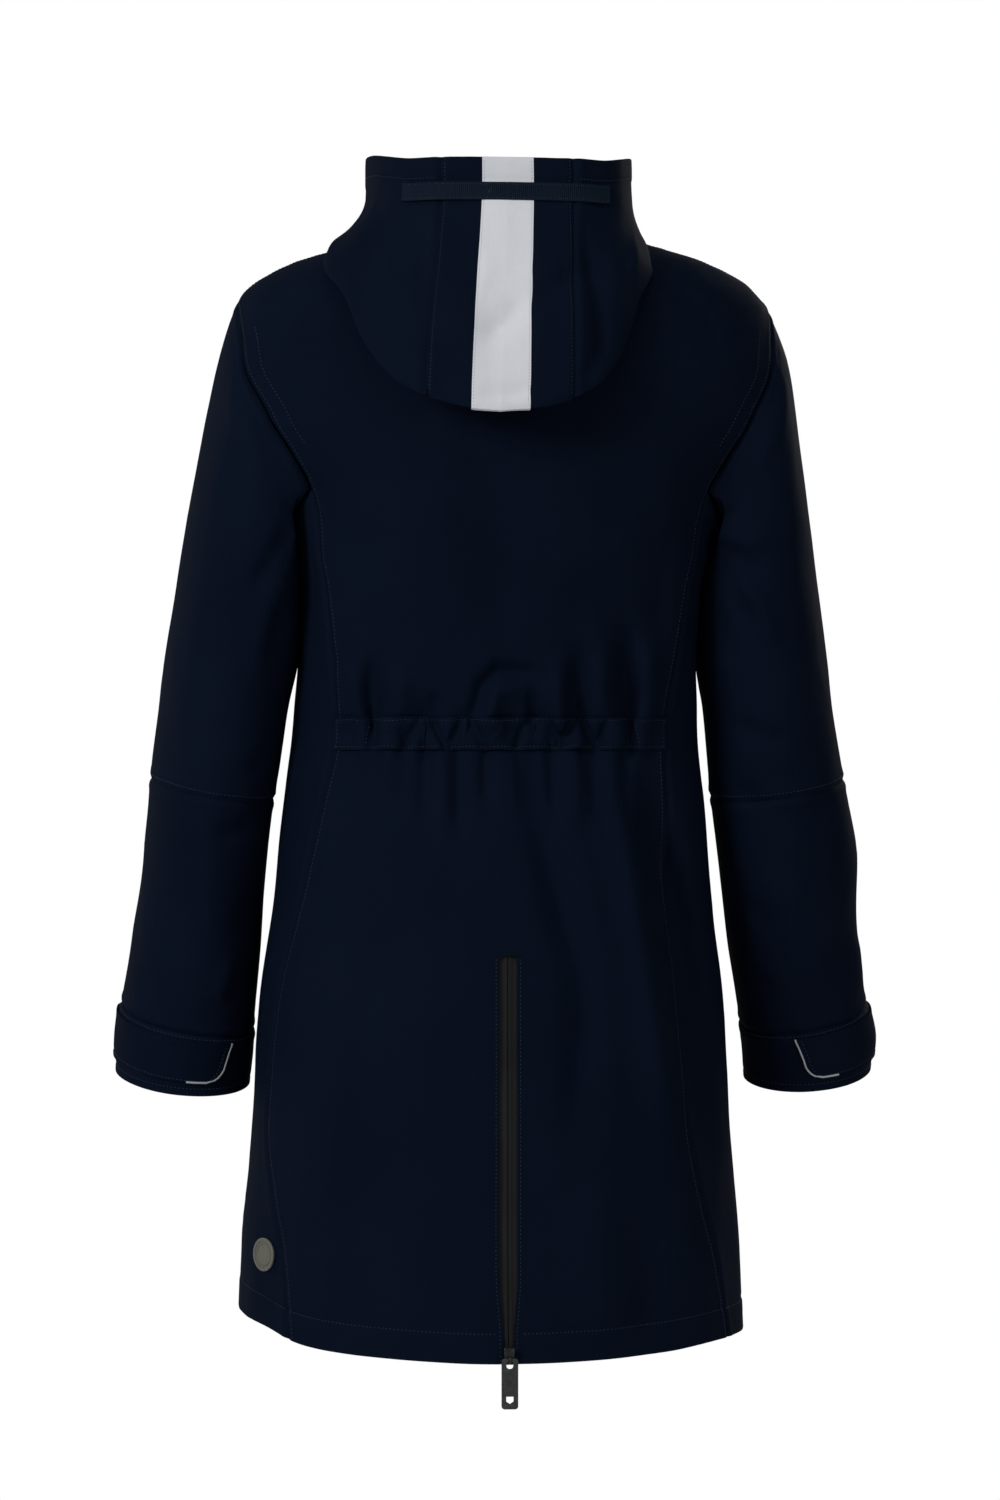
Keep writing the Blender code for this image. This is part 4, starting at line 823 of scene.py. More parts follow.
for hand in ("left", "right"):
    band = sleeve_sheet(hand, cuff_heights)
    normals = outward(band, looped=True)
    band = sewn(band, ("top",), looped=True, slack=0.0006)
    up = from_edge(band, "bottom")
    band = band + normals * (CUFF_PROUD * ease(from_edge(band, "top"), 0.0, 0.002)
                             - 0.0006 * np.exp(-((up - CUFF_STITCH) / 0.0012) ** 2))[..., None]
    cuff_piece = cloth_piece("cuff_band_" + hand, band, navy, looped=True)
    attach(cuff_piece, "coat")
    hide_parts("cuff_" + hand)

    # The tab lies on the band. Its shares run from the sewn end to the free end, and from low to high.
    outer_first = band[:, ::-1] if hand == "left" else band
    out_first = normals[:, ::-1] if hand == "left" else normals
    circle = np.linspace(0, 360, SLEEVE_COLUMNS + 1)
    tab_turns = np.linspace(*TAB_TURNS[hand], TAB_COLUMNS)
    tall = run(outer_first, 0)
    tab_rows = []
    lowest, highest = TAB_FROM_END, tall[-1].mean() - TAB_FROM_TOP
    middle_out = out_first[len(band) // 2]
    ring_heights = np.linspace(0, tall[-1].mean(), len(band))
    for share in np.linspace(0, 1, TAB_ROWS):
        height = lowest + (highest - lowest) * share
        row = []
        for turn in tab_turns:
            place = turn % 360
            upright = np.array([on_line(place, circle, ring) for ring in outer_first])
            lean = on_line(place, circle, middle_out)
            row.append(on_line(height, ring_heights, upright) + lean * (WALL * 0.9 + TAB_LIFT))
        tab_rows.append(row)
    tab = np.array(tab_rows)
    # The free end slants, and its lower corner is round.
    along = run(tab, 1)
    long = along[:, -1:]
    share_up = np.linspace(0, 1, len(tab))[:, None]
    rise = share_up * (highest - lowest)
    left_over = np.sqrt(np.maximum(TAB_CORNER ** 2 - (TAB_CORNER - rise) ** 2, 0))
    cut = np.where(rise < TAB_CORNER, TAB_CORNER - left_over, 0.0) + TAB_SLANT * (1 - share_up)
    wanted = along / long * (long - cut)
    tab = np.array([on_line(wanted[i], along[i], tab[i]) for i in range(TAB_ROWS)])
    edge_gap = np.minimum(from_edge(tab, "bottom"), from_edge(tab, "right"))
    tab_out = outward(tab)
    centre = TAB_ROWS // 2, TAB_COLUMNS // 2
    if np.sum(tab_out[centre] * (tab[centre] - band.mean(axis=(0, 1)))) < 0:
        tab_out = -tab_out
    tab = tab + tab_out * (0.0005 * np.exp(-((edge_gap - 0.0015) / 0.0015) ** 2)
                           - 0.0004 * np.exp(-((edge_gap - TAB_STITCH) / 0.001) ** 2))[..., None]
    facing = tab if hand == "right" else tab[:, ::-1]
    tab_piece = cloth_piece("cuff_tab_" + hand, facing, navy, thickness=TAB_WALL)
    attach(tab_piece, "coat")
    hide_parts("cuff_tab_" + hand)

    free_end = "left" if hand == "left" else "right"
    stitches("cuff_stitching_" + hand, [
        beside_edge(band, "bottom", CUFF_STITCH), beside_edge(band, "top", 0.003),
        beside_edge(facing, "bottom", TAB_STITCH), beside_edge(facing, free_end, TAB_STITCH)], navy_thread)

    # Piping: a thin round edge from the top of the free end down and round the corner.
    end_line = tab[::-1, -1] - tab_out[::-1, -1] * 0.0004
    low_line = tab[0, ::-1][1:8] - tab_out[0, ::-1][1:8] * 0.0004
    route = np.vstack([end_line, low_line])
    wire = bpy.data.curves.new("cuff_piping_" + hand, "CURVE")
    wire.dimensions = "3D"
    wire.bevel_depth = PIPING_RADIUS
    wire.bevel_resolution = 2
    wire.use_fill_caps = True
    spline = wire.splines.new("POLY")
    spline.points.add(len(route) - 1)
    for knot, point in zip(spline.points, route):
        knot.co = (*point, 1.0)
    piping = bpy.data.objects.new("cuff_piping_" + hand, wire)
    bpy.context.scene.collection.objects.link(piping)
    wire.materials.append(piping_silver)
    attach(piping, "coat")
    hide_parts("cuff_piping_" + hand)

# ---------------------------------------------------------------- the hood
# The hood hangs down behind, a bag of three panels on the neck seam that turns up again to its rim. The
# middle panel is seamed to the two sides, and the panels' stitching shows beside the seams.

# Hood ribs, from centre back round to the front: the bag's lowest point (the collar's middle in front) and
# the rim. The last rib stands beside the front zip.
HOOD = table("turn edge_x edge_y edge_z rim_x rim_y rim_z", [
    (0, 0.0, 0.170, -0.153, 0.0, 0.100, 0.049),
    (14, 0.029, 0.168, -0.150, 0.026, 0.099, 0.049),
    (27, 0.0565, 0.162, -0.142, 0.0515, 0.0965, 0.049),
    (42, 0.082, 0.148, -0.126, 0.073, 0.087, 0.049),
    (56, 0.101, 0.126, -0.098, 0.092, 0.070, 0.0525),
    (70, 0.115, 0.104, -0.062, 0.102, 0.046, 0.056),
    (84, 0.128, 0.070, -0.034, 0.105, 0.016, 0.057),
    (98, 0.106, 0.020, -0.012, 0.102, -0.016, 0.052),
    (114, 0.098, -0.030, -0.008, 0.093, -0.044, 0.034),
    (131, 0.082, -0.062, -0.010, 0.078, -0.070, 0.020),
    (148, 0.057, -0.083, -0.026, 0.056, -0.088, 0.007),
    (164, 0.030, -0.094, -0.038, 0.030, -0.098, -0.002),
    (180, 0.0076, -0.098, -0.043, 0.0076, -0.101, -0.006)])
HOOD_LEAN = (0.006, 0.018)     # how far the rim and the bag stand to the wearer's left
STRIPE_TURN, PANEL_TURN, TAPE_TURN = 11.0, 27.0, 46.5
RIM_HEM, PANEL_STITCH = 0.016, 0.0035
# A rib's curve is sampled this often between the eight points that guide it; the fifth is the bag's edge.
RIB_STEP = 30
RIB_SAMPLES, EDGE_SAMPLE = 7 * RIB_STEP + 1, 4 * RIB_STEP

# Soft dents and folds of the bag, seen from behind (x, z).
HOOD_FOLDS = [
    ([(-0.010, -0.066), (-0.030, -0.054), (-0.054, -0.038)], 0.009, -0.0040),
    ([(-0.012, -0.050), (-0.034, -0.034)], 0.010, 0.0020),
    ([(-0.006, -0.066), (0.012, -0.082), (0.032, -0.098)], 0.009, -0.0032),
    ([(0.080, -0.020), (0.094, -0.070), (0.086, -0.105)], 0.016, -0.0035),
    ([(-0.070, -0.010), (-0.078, -0.060), (-0.070, -0.110)], 0.016, -0.0035),
    ([(0.050, -0.040), (0.056, -0.110)], 0.018, 0.0022),
    ([(-0.052, -0.070), (-0.050, -0.120)], 0.014, 0.0020),
    ([(0.090, 0.010), (0.112, -0.022)], 0.010, -0.0025),
    ([(-0.086, 0.014), (-0.106, -0.010)], 0.009, -0.0025),
    ([(-0.050, 0.000), (-0.060, -0.050), (-0.062, -0.100), (-0.046, -0.132)], 0.008, -0.0050),
    ([(-0.074, -0.020), (-0.080, -0.070), (-0.070, -0.110)], 0.010, 0.0030),
    ([(0.062, 0.000), (0.074, -0.050), (0.076, -0.100)], 0.009, -0.0034),
    ([(0.036, -0.141), (0.010, -0.140), (-0.010, -0.136)], 0.005, -0.0020)]


def curve_through(points, count):
    """Points evenly spaced in parameter on a smooth curve through the given ones."""
    points = np.array(points, float)
    ends = np.vstack([2 * points[0] - points[1], points, 2 * points[-1] - points[-2]])
    place = np.linspace(0, len(points) - 1, count)
    i = np.minimum(place.astype(int), len(points) - 2)
    f = (place - i)[:, None]
    a, b, c, d = (ends[i + k] for k in range(4))
    bend = (2 * a - 5 * b + 4 * c - d) * f * f + (3 * b - a - 3 * c + d) * f ** 3
    return 0.5 * (2 * b + (c - a) * f + bend)


def hood_rib(turn, hand):
    """A rib's curve from the neck seam, under the bag and up to the rim."""
    sign = 1 if hand == "left" else -1
    last = 180 - float(offset_turn(NAPE, ZIP_HALF))
    neck = body_point(sign * min(turn, last), NAPE)
    value = {column: float(at(HOOD, column, turn)) for column in HOOD}
    edge = np.array((sign * value["edge_x"] + HOOD_LEAN[1] * (1 - ease(turn, 90, 140)), value["edge_y"],
                     value["edge_z"]))
    rim = np.array((sign * value["rim_x"] + HOOD_LEAN[0] * (1 - ease(turn, 120, 175)), value["rim_y"],
                    value["rim_z"]))
    if turn >= 180:
        edge[0], rim[0] = neck[0], neck[0]
    bag = 1 - ease(turn, 92, 140)
    out = (edge - neck) * (1, 1, 0)
    out /= np.linalg.norm(out)
    up = np.array((0, 0, 1))
    plain = [neck + (edge - neck) * f for f in (0.3, 0.55, 0.8)]
    bagged = [neck + up * 0.012 + out * 0.003, neck + up * 0.013 + out * 0.016,
              neck + (edge - neck) * 0.5 + out * 0.006 + up * 0.016]
    under = [p * (1 - bag) + q * bag for p, q in zip(plain, bagged)]
    beside = float(ease(turn, 66, 86))
    bulge = out * (0.006 - 0.003 * beside) * bag
    over = [edge + (rim - edge) * (0.33 - 0.17 * beside) + bulge, rim * (1 - bag) + edge * 0.32 * (1 - bag)
            + (rim + out * 0.004 - up * 0.040) * bag - rim * 0.32 * (1 - bag)]
    return [neck, *under, edge, *over, rim]


hood_rows = np.unique(np.concatenate([np.linspace(0, 100, 26), np.linspace(100, 140, 22),
                                      np.linspace(140, RIB_SAMPLES - 1, 44)]).round().astype(int))
BAG_EDGE = int(np.argmin(np.abs(hood_rows - EDGE_SAMPLE)))


def hood_ribs(turns):
    """The hood's sheet over these turns, which run from the right (negative) to the left."""
    ribs = [curve_through(hood_rib(abs(t), "left" if t > 0 else "right"), RIB_SAMPLES)[hood_rows]
            for t in turns]
    sheet = np.array(ribs).transpose(1, 0, 2)
    rise = folded(sheet[..., 0], sheet[..., 2], HOOD_FOLDS) * ease(sheet[..., 1], 0.06, 0.11)
    rise[:BAG_EDGE] *= ease(np.arange(BAG_EDGE), BAG_EDGE - 8, BAG_EDGE)[:, None]
    return sheet + outward(sheet) * rise[..., None]


near_back = 1e-3       # the two middle ribs stand either side of centre back
middle_turns = np.linspace(near_back, PANEL_TURN, 31)
middle_turns = np.concatenate([-np.linspace(PANEL_TURN, near_back, 31), middle_turns])
left_turns = PANEL_TURN + (180 - PANEL_TURN) * (shares(74, 0.3))
hood_cloth = {"hood_side_right": hood_ribs(-left_turns[::-1]), "hood_centre": hood_ribs(middle_turns),
              "hood_side_left": hood_ribs(left_turns)}
hood_flat = {"hood_centre": ((0.13, 0.42), 0.045), "hood_side_left": ((0.30, 0.30), 0.050),
             "hood_side_right": ((0.30, 0.30), 0.050)}
hood_seams = {"hood_centre": ("left", "right", "bottom"), "hood_side_left": ("left", "bottom"),
              "hood_side_right": ("right", "bottom")}
for name, points in hood_cloth.items():
    shaped = sewn(points, hood_seams[name], slack=0.0016)
    from_rim = from_edge(shaped, "top")
    shaped = stand_out(shaped, 0.0006 * (1 - ease(from_rim, RIM_HEM - 0.001, RIM_HEM + 0.001)))
    hood_cloth[name] = shaped
    hood_piece = cloth_piece(name + "_panel", shaped, navy)
    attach(hood_piece, "coat")
    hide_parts(name)
    flat, area = hood_flat[name]
stitches("hood_stitching", [
    beside_edge(hood_cloth["hood_centre"], "left", PANEL_STITCH),
    beside_edge(hood_cloth["hood_centre"], "right", PANEL_STITCH),
    beside_edge(hood_cloth["hood_side_left"], "top", RIM_HEM, 0.02, 0.98),
    beside_edge(hood_cloth["hood_side_right"], "top", RIM_HEM, 0.02, 0.98)], navy_thread)

# ---------------------------------------------------------------- the reflective stripe
# A strip of silver-grey reflective film on a cloth backing is stitched down the middle of the hood from
# the rim to the bag's edge. It creases with the hood.

STRIPE_WALL, STRIPE_GAP = 0.0007, 0.0003
middle = hood_cloth["hood_centre"]
inner = np.abs(middle_turns) <= STRIPE_TURN + 0.2
stripe = middle[BAG_EDGE - 1:, inner]
stripe = stripe + outward(stripe) * (STRIPE_WALL + STRIPE_GAP)
reflective = cloth_material("reflective_grey_film", (0.385, 0.396, 0.420), (0.365, 0.376, 0.400),
                            weave=0.0009, roughness=0.45, specular=0.3)
stripe_piece = cloth_piece("hood_stripe_film", stripe, reflective, thickness=STRIPE_WALL)
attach(stripe_piece, "coat")
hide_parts("hood_stripe")
grey_thread = thread_material("grey_thread", (0.14, 0.145, 0.155))
stitches("stripe_stitching", [beside_edge(stripe, edge, 0.0015) for edge in ("left", "right")], grey_thread,
         pitch=0.0026, length=0.0019)

# ---------------------------------------------------------------- the webbing across the hood
# A ribbed navy webbing, 15 mm wide, crosses the hood below its rim and over the stripe. Its ribs run
# across it, and it is sewn down along both edges.

WEB_LOW, WEB_HIGH = 0.0345, 0.0195      # its edges, below the rim
WEB_WALL, WEB_LIFT = 0.0010, 0.0016      # it lies clear of the stripe
RIB, RIB_HEIGHT = 0.0016, 0.00038
WEB_ROWS = 9
web_turns = np.linspace(-TAPE_TURN, TAPE_TURN, 361)
web_turns = np.where(np.abs(web_turns) < near_back, near_back, web_turns)
web_sheet = hood_ribs(web_turns)
below_rim = from_edge(web_sheet, "top")
web = np.array([[on_line(-down, -below_rim[:, j], web_sheet[:, j]) for j in range(len(web_turns))]
                for down in np.linspace(WEB_LOW, WEB_HIGH, WEB_ROWS)])
web_along = run(web, 1)
edge_shape = np.sin(math.pi * np.linspace(0.06, 0.94, WEB_ROWS))[:, None] ** 0.4
ribbed = RIB_HEIGHT * np.sin(2 * math.pi * web_along / RIB) * edge_shape
web = web + outward(web) * (WEB_LIFT + WEB_WALL + ribbed)[..., None]
webbing = cloth_material("navy_webbing", (0.0052, 0.0096, 0.0170), (0.0034, 0.0064, 0.0120), weave=0.0008)
web_piece = cloth_piece("hood_webbing", web, webbing, thickness=WEB_WALL)
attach(web_piece, "coat")
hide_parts("hood_tape")
stitches("webbing_stitching", [beside_edge(web, edge, 0.0016) for edge in ("bottom", "top")], navy_thread)

# ---------------------------------------------------------------- the gathered channel
# A strip of the coat's cloth is stitched across the back of the waist over an elastic, flat at both ends
# and puckered unevenly between them.

CHANNEL_LOW, CHANNEL_HIGH = -0.4120, -0.3860
CHANNEL_WALL, CHANNEL_LIFT, CHANNEL_STITCH = 0.0010, 0.0016, 0.0025
PUFF_DEPTH = 1.25      # the puckers are this much deeper than listed
channel_levels = np.linspace(CHANNEL_LOW, CHANNEL_HIGH, 21)
channel_share = np.linspace(0, 1, 321)
channel_turns = spread(-edge_turn(channel_levels, "back", "right") + 0.4,
                       edge_turn(channel_levels, "back", "left") - 0.4, channel_share)
channel = body_point(channel_turns, channel_levels[:, None])
channel = stand_out(channel, waist_gathers(channel))
# Each pucker: its place, how much it leans, half its width and its depth.
PUCKERS = [
    (0.1085, -0.30, 0.0045, -0.0030), (0.0960, 0.35, 0.0060, 0.0030), (0.0800, -0.40, 0.0040, -0.0028),
    (0.0700, 0.20, 0.0060, 0.0032), (0.0590, 0.45, 0.0034, -0.0034), (0.0470, -0.45, 0.0036, -0.0032),
    (0.0380, 0.10, 0.0050, 0.0026), (0.0290, 0.35, 0.0034, -0.0032), (0.0150, -0.20, 0.0070, 0.0030),
    (-0.0050, -0.35, 0.0036, -0.0034), (-0.0180, 0.25, 0.0070, 0.0034), (-0.0320, 0.50, 0.0030, -0.0034),
    (-0.0385, -0.40, 0.0030, -0.0030), (-0.0480, 0.10, 0.0050, 0.0030), (-0.0590, 0.40, 0.0034, -0.0034),
    (-0.0690, -0.30, 0.0032, -0.0030), (-0.0800, 0.15, 0.0060, 0.0030), (-0.0900, -0.25, 0.0036, -0.0028)]
middle_height = (CHANNEL_LOW + CHANNEL_HIGH) / 2
in_band = np.sin(math.pi * np.linspace(0.0, 1.0, len(channel_levels)))[:, None] ** 0.7
puff = 0.0012 * in_band * (1 - ease(channel[..., 0], 0.108, 0.116)) * ease(channel[..., 0], -0.100, -0.092)
for x, lean, reach, rise in PUCKERS:
    line = x + lean * (channel[..., 2] - middle_height)
    puff = puff + rise * np.exp(-((channel[..., 0] - line) / reach) ** 2) * (0.25 + 0.75 * in_band)
channel = stand_out(channel, puff * PUFF_DEPTH + CHANNEL_LIFT)
channel_edges = ("bottom", "top", "left", "right")
edge_gap = np.minimum.reduce([from_edge(channel, edge) for edge in channel_edges])
channel = stand_out(channel, -0.0006 * np.exp(-((edge_gap - CHANNEL_STITCH) / 0.0011) ** 2))
channel_piece = cloth_piece("waist_channel_strip", channel, navy, thickness=CHANNEL_WALL)
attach(channel_piece, "coat")
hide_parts("waist_channel")
end_bars = []
for x in (0.114, -0.098):
    column = int(np.argmin(np.abs(channel[10, :, 0] - x)))
    end_bars.append((channel[2:-2, column], outward(channel)[2:-2, column]))
channel_rows = [beside_edge(channel, edge, CHANNEL_STITCH) for edge in channel_edges]
stitches("channel_stitching", [*channel_rows, *end_bars], navy_thread)

# ---------------------------------------------------------------- the zips
# Two coil zips set in face down, so that only their plain tapes show: one opens the vent behind, the
# other the front up to the top of the collar. A line down the middle is where the tapes meet.

# Places across half a tape, closer together where it rises over the coil.
HALF_TAPE = np.array([0.35, 0.7, 1.6, 2.6, 3.4, 4.6, 6.5, 9.0, 11.5]) / 1000
TAPE_WALL, TAPE_GAP = 0.0007, 0.0003
TAPE_RIB, TAPE_RIB_HEIGHT = 0.0030, 0.00010


def zip_tape(name, node, middle_line, side, out):
    """A zip's two tapes: flat at the sides, raised over the coil, with the meeting line between them."""
    across = np.concatenate([-HALF_TAPE[::-1], [0.0], HALF_TAPE])
    width = np.abs(across)
    profile = 0.0007 * (1 - ease(width, 0.0024, 0.0036)) - 0.0011 * (1 - ease(width, 0.0002, 0.0007))
    points = (middle_line[:, None] + side[:, None] * across[:, None]
              + out[:, None] * (profile - WALL - TAPE_GAP)[:, None])
    ribs = TAPE_RIB_HEIGHT * np.sin(2 * math.pi * run(points, 0) / TAPE_RIB) * (width > 0.0026)
    points = points + outward(points) * ribs[..., None]
    piece = cloth_piece(name, points, zip_cloth, thickness=TAPE_WALL)
    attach(piece, "coat")
    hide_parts(node)


def frame_along(left, right):
    """The middle line between two edges, its sideways direction and its outward direction."""
    line = (left + right) / 2
    side = left - right
    side /= np.linalg.norm(side, axis=1, keepdims=True)
    out = np.cross(np.gradient(line, axis=0), side)
    out /= np.linalg.norm(out, axis=1, keepdims=True)
    return line, side, out


zip_cloth = cloth_material("zip_tape_cloth", (0.0125, 0.0128, 0.0130), (0.0080, 0.0082, 0.0084), weave=0.0007,
                           roughness=0.7)
vent_levels = between((HEM, VENT_TOP + 0.012), (280,))
slot_edges = [body_point(turn, vent_levels)
              for turn in (offset_turn(vent_levels, ZIP_HALF), -offset_turn(vent_levels, ZIP_HALF))]
line, side, out = frame_along(*slot_edges)
zip_tape("vent_zip_tape", "vent_zip", line, side, out)

collar_left = hood_cloth["hood_side_left"][1:, -1]
collar_right = hood_cloth["hood_side_right"][1:, 0]
left_line = np.vstack([body_point(zip_edge, front_levels), collar_left])
right_line = np.vstack([body_point(-zip_edge, front_levels), collar_right])
steps = distances(left_line)
evenly = np.linspace(0, steps[-1], 300)
left_line, right_line = (on_line(evenly, steps, edge) for edge in (left_line, right_line))
line, side, out = frame_along(right_line, left_line)
zip_tape("front_zip_tape", "front_zip", line, side, out)

# ---------------------------------------------------------------- the sliders
# Each zip's slider is a black lacquered casting: two plates joined by a post, with a bridge on its face
# that the pull's ring hangs from.


def lacquer_material(name, colour, metallic, roughness):
    """Lacquer on a casting, rubbed a little lighter in patches."""
    lacquer = bpy.data.materials.new(name)
    lacquer.use_nodes = True
    nodes, link = lacquer.node_tree.nodes, lacquer.node_tree.links.new
    shader = nodes["Principled BSDF"]
    shader.inputs["Metallic"].default_value = metallic
    place = nodes.new("ShaderNodeTexCoord")
    worn = nodes.new("ShaderNodeTexNoise")
    worn.inputs["Scale"].default_value = 260.0
    worn.inputs["Detail"].default_value = 6.0
    link(place.outputs["Object"], worn.inputs["Vector"])
    tone = nodes.new("ShaderNodeValToRGB")
    tone.color_ramp.elements[0].position, tone.color_ramp.elements[1].position = 0.42, 0.72
    tone.color_ramp.elements[0].color = (*colour, 1)
    tone.color_ramp.elements[1].color = (*(c * 2.2 for c in colour), 1)
    link(worn.outputs["Fac"], tone.inputs["Fac"])
    link(tone.outputs["Color"], shader.inputs["Base Color"])
    rough = nodes.new("ShaderNodeMapRange")
    rough.inputs["To Min"].default_value = roughness - 0.08
    rough.inputs["To Max"].default_value = roughness + 0.12
    link(worn.outputs["Fac"], rough.inputs["Value"])
    link(rough.outputs["Result"], shader.inputs["Roughness"])
    bump = nodes.new("ShaderNodeBump")
    bump.inputs["Strength"].default_value = 0.2
    bump.inputs["Distance"].default_value = 0.0001
    link(worn.outputs["Fac"], bump.inputs["Height"])
    link(bump.outputs["Normal"], shader.inputs["Normal"])
    return lacquer


def join(parts, name):
    """One object from several."""
    bpy.ops.object.select_all(action="DESELECT")
    for part in parts:
        part.select_set(True)
    bpy.context.view_layer.objects.active = parts[0]
    bpy.ops.object.join()
    whole = bpy.context.object
    whole.name = name
    bpy.ops.object.transform_apply(location=True, rotation=True, scale=True)
    whole.select_set(False)
    return whole


def plate(size, centre, shoulder):
    """A rounded plate, narrower towards its lower end."""
    bpy.ops.mesh.primitive_cube_add(size=1, location=centre)
    made = bpy.context.object
    made.scale = size
    bpy.ops.object.transform_apply(location=False, rotation=False, scale=True)
    bpy.ops.object.mode_set(mode="EDIT")
    bpy.ops.mesh.select_mode(type="FACE")
    bpy.ops.mesh.select_all(action="DESELECT")
    bpy.ops.object.mode_set(mode="OBJECT")
    for face in made.data.polygons:
        face.select = face.normal.z < -0.9
    bpy.ops.object.mode_set(mode="EDIT")
    bpy.ops.transform.resize(value=(shoulder, 1, 1))
    bpy.ops.mesh.select_all(action="SELECT")
    bpy.ops.mesh.bevel(offset=0.0007, segments=3, affect="EDGES")
    bpy.ops.object.mode_set(mode="OBJECT")
    return made


lacquer = lacquer_material("black_zip_lacquer", (0.010, 0.010, 0.0105), 0.6, 0.38)
PLATE, POST = (0.0088, 0.0011, 0.0125), (0.0024, 0.0020, 0.0040)
PLATE_DEPTHS = (0.0006, 0.0026)      # of the two plates' middles, from the slider's inner face
BRIDGE_RADIUS, BRIDGE_WIRE = 0.0027, 0.0007
for node in ("vent_slider", "front_slider"):
    low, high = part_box(node)
    middle_x = (low.x + high.x) / 2
    behind = node == "vent_slider"
    facing = 1 if behind else -1
    inner_y, outer_y = (low.y, high.y) if behind else (high.y, low.y)
    height = (low.z + high.z) / 2
    plates = [plate(PLATE, (middle_x, inner_y + facing * depth, height), 0.72) for depth in PLATE_DEPTHS]
    post = plate(POST, (middle_x, inner_y + facing * 0.0016, height + 0.0035), 1.0)
    pivot = (middle_x, outer_y - facing * (BRIDGE_RADIUS + BRIDGE_WIRE), height - 0.0020)
    bpy.ops.mesh.primitive_torus_add(major_radius=BRIDGE_RADIUS, minor_radius=BRIDGE_WIRE, major_segments=32,
                                     minor_segments=12, location=pivot, rotation=(0, math.pi / 2, 0))
    bridge = bpy.context.object
    slider = join([*plates, post, bridge], node + "_casting")
    slider.data.materials.append(lacquer)
    bpy.context.view_layer.objects.active = slider
    slider.select_set(True)
    bpy.ops.object.shade_smooth_by_angle(angle=math.radians(35))
    slider.select_set(False)
    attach(slider, "coat")
    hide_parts(node)

# ---------------------------------------------------------------- the pulls
# A flat lacquered pull hangs from each slider's bridge by the eye at its top. It has a raised border, a
# five-sided window near its foot and two plain lines across its face.


def rounded_outline(width, height, radius, centre_z, steps=6):
    """Corner points of an upright rounded rectangle."""
    points = []
    for x, z, start in ((1, 1, 0), (-1, 1, 90), (-1, -1, 180), (1, -1, 270)):
        for k in range(steps + 1):
            a = math.radians(start + 90 * k / steps)
            points.append((x * (width / 2 - radius) + radius * math.cos(a),
                           centre_z + z * (height / 2 - radius) + radius * math.sin(a)))
    return points


def flat_shape(outlines, thickness, bevel):
    """A flat shape standing in the XZ plane, with holes where outlines lie inside each other."""
    curve = bpy.data.curves.new("outline", "CURVE")
    curve.dimensions = "2D"
    curve.fill_mode = "BOTH"
    curve.extrude = thickness / 2 - bevel
    curve.bevel_depth = bevel
    curve.bevel_resolution = 1
    for outline in outlines:
        spline = curve.splines.new("POLY")
        spline.points.add(len(outline) - 1)
        spline.use_cyclic_u = True
        for knot, (x, z) in zip(spline.points, outline):
            knot.co = (x, z, 0, 1)
    shape = bpy.data.objects.new("outline", curve)
    bpy.context.scene.collection.objects.link(shape)
    shape.rotation_euler = (math.pi / 2, 0, 0)
    bpy.ops.object.select_all(action="DESELECT")
    shape.select_set(True)
    bpy.context.view_layer.objects.active = shape
    bpy.ops.object.convert(target="MESH")
    shape = bpy.context.object
    bpy.ops.object.transform_apply(location=True, rotation=True, scale=True)
    bpy.ops.object.mode_set(mode="EDIT")
    bpy.ops.mesh.select_all(action="SELECT")
    bpy.ops.mesh.remove_doubles(threshold=1e-6)
    bpy.ops.mesh.normals_make_consistent(inside=False)
    bpy.ops.object.mode_set(mode="OBJECT")
    return shape


PULL_WIDTH, PULL_TALL, PULL_THICK = 0.0124, 0.0385, 0.0016
PULL_TOP = 0.0008              # above the hinge's axis
PULL_BLANK, PULL_BEVEL, PULL_CORNER = 0.0012, 0.0002, 0.0022
PULL_BORDER = 0.0011
pull_lacquer = lacquer_material("pull_lacquer", (0.0075, 0.0075, 0.0078), 0.15, 0.42)
for node in ("vent_pull", "front_pull"):
    low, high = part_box(node)
    pivot = Vector(((low.x + high.x) / 2, (low.y + high.y) / 2, high.z - PULL_TOP))
    middle_z = PULL_TOP - PULL_TALL / 2
    outline = rounded_outline(PULL_WIDTH, PULL_TALL, PULL_CORNER, middle_z)
    inside = rounded_outline(PULL_WIDTH - 2 * PULL_BORDER, PULL_TALL - 2 * PULL_BORDER, PULL_CORNER - 0.0009,
                             middle_z)
    eye = rounded_outline(0.0056, 0.0064, 0.0024, -0.0040)
    window = [(0.0030 * x, -0.0310 + 0.0030 * z) for x, z in
              ((-1, 1), (-1, -0.35), (0, -1), (1, -0.35), (1, 1))]
    blank = flat_shape([outline, eye, window], PULL_BLANK, PULL_BEVEL)
    border = flat_shape([outline, inside], PULL_THICK, PULL_BEVEL)
    bars = [flat_shape([rounded_outline(PULL_WIDTH - 0.0030, 0.0011, 0.0005, z)], PULL_THICK, PULL_BEVEL)
            for z in (-0.0125, -0.0240)]
    pull = join([blank, border, *bars], node + "_tab")
    pull.data.transform(Matrix.Translation(pivot))
    pull.data.materials.clear()
    pull.data.materials.append(pull_lacquer)
    pull.select_set(True)
    bpy.context.view_layer.objects.active = pull
    bpy.ops.object.shade_smooth_by_angle(angle=math.radians(35))
    pull.select_set(False)
    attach(pull, node)
    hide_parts(node)

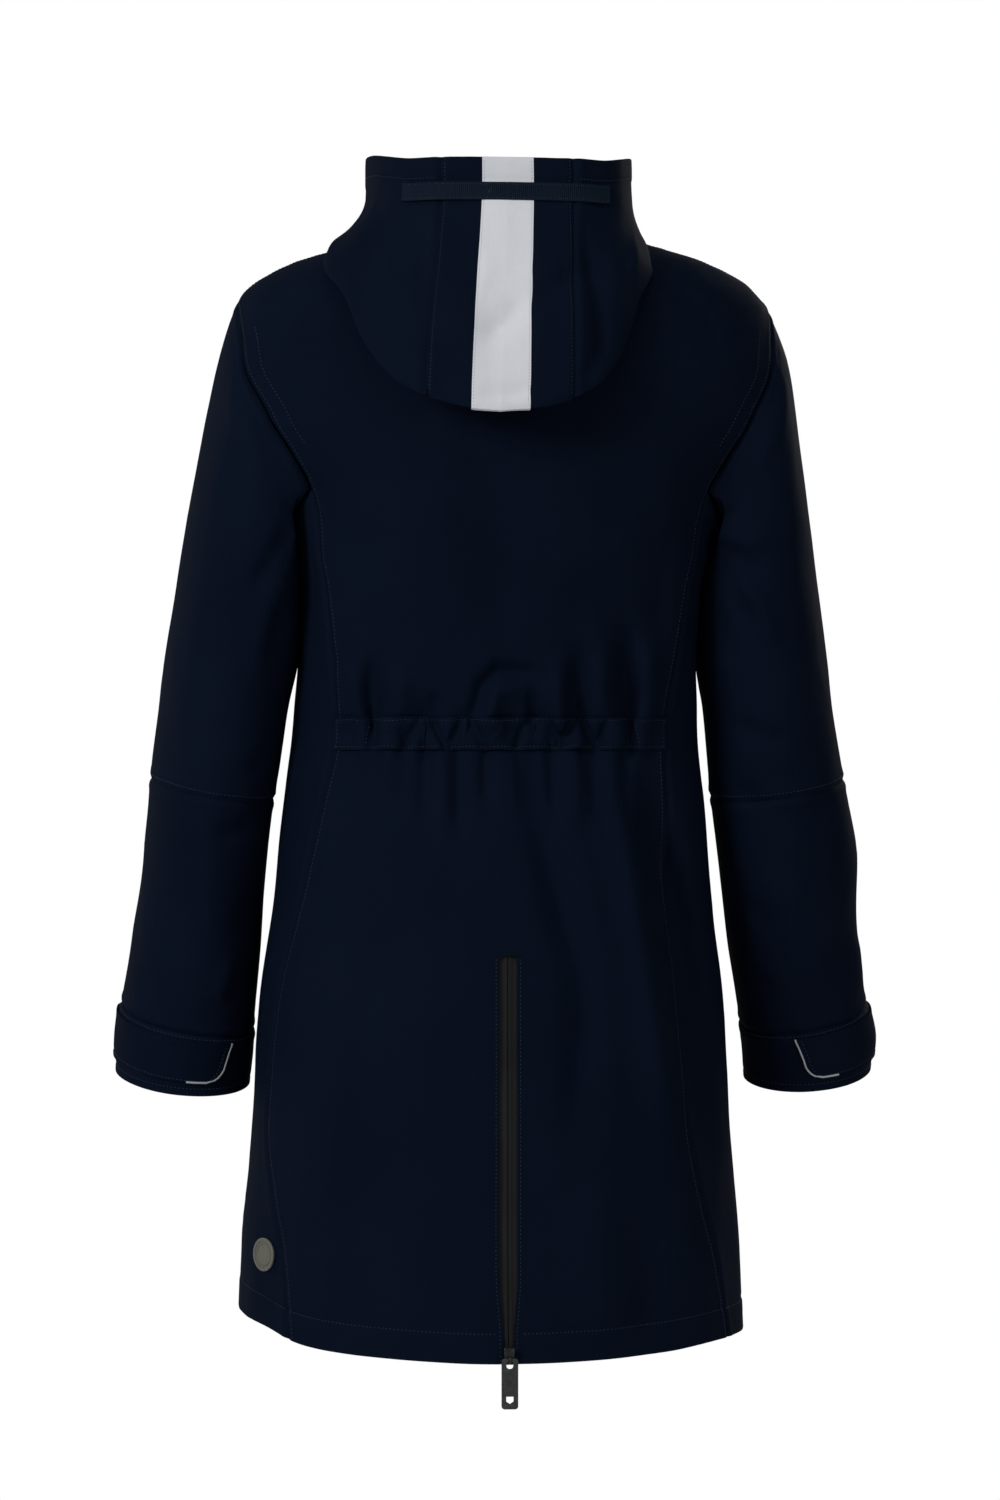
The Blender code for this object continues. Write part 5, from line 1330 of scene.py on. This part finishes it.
# ---------------------------------------------------------------- the badge
# A round badge of moulded grey rubber, 26 mm across, is bonded to the left side panel near the hem: a
# raised outer ring, a groove, a thin inner ring and a plain textured middle.

badge_low, badge_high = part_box("badge")
badge_middle = (badge_low + badge_high) / 2
BADGE_RADIUS, BADGE_THICK = 0.013, 0.0012
# Steps in from the rim, each with its width and how far it rises.
BADGE_STEPS = ((0.0004, 0.0003), (0.0018, 0.0), (0.0003, -0.0006), (0.0012, 0.0), (0.0003, 0.0005),
               (0.0006, 0.0), (0.0003, -0.0005), (0.0040, 0.0002))
gaps = np.linalg.norm(left_side_cloth - np.array(badge_middle), axis=2)
nearest = np.unravel_index(np.argmin(gaps), gaps.shape)
row, column = nearest
badge_out = Vector(outward(left_side_cloth)[row - 3:row + 4, column - 3:column + 4].mean(axis=(0, 1)))
bpy.ops.mesh.primitive_circle_add(vertices=72, radius=BADGE_RADIUS, fill_type="NGON", location=(0, 0, 0))
badge = bpy.context.object
badge.name = "badge_rings"
bpy.ops.object.mode_set(mode="EDIT")
bpy.ops.mesh.select_mode(type="FACE")
bpy.ops.mesh.select_all(action="SELECT")
bpy.ops.mesh.extrude_region_move(TRANSFORM_OT_translate={"value": (0, 0, BADGE_THICK)})
for thickness, depth in BADGE_STEPS:
    bpy.ops.mesh.inset(thickness=thickness, depth=depth)
bpy.ops.mesh.select_all(action="SELECT")
bpy.ops.mesh.normals_make_consistent(inside=False)
bpy.ops.object.mode_set(mode="OBJECT")
bpy.ops.object.shade_smooth_by_angle(angle=math.radians(30))
place = Vector(left_side_cloth[nearest])
badge_turn = badge_out.to_track_quat("Z", "Y").to_matrix().to_4x4()
badge.data.transform(Matrix.Translation(place + badge_out * 0.0004) @ badge_turn)
badge_rubber = speckled_material("grey_badge_rubber", (0.042, 0.041, 0.033), (0.082, 0.080, 0.065),
                                 grain=900.0, roughness=0.55, specular=0.3, detail=3.0, relief=0.0002)
badge.data.materials.append(badge_rubber)
badge.select_set(False)
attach(badge, "coat")
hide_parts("badge")
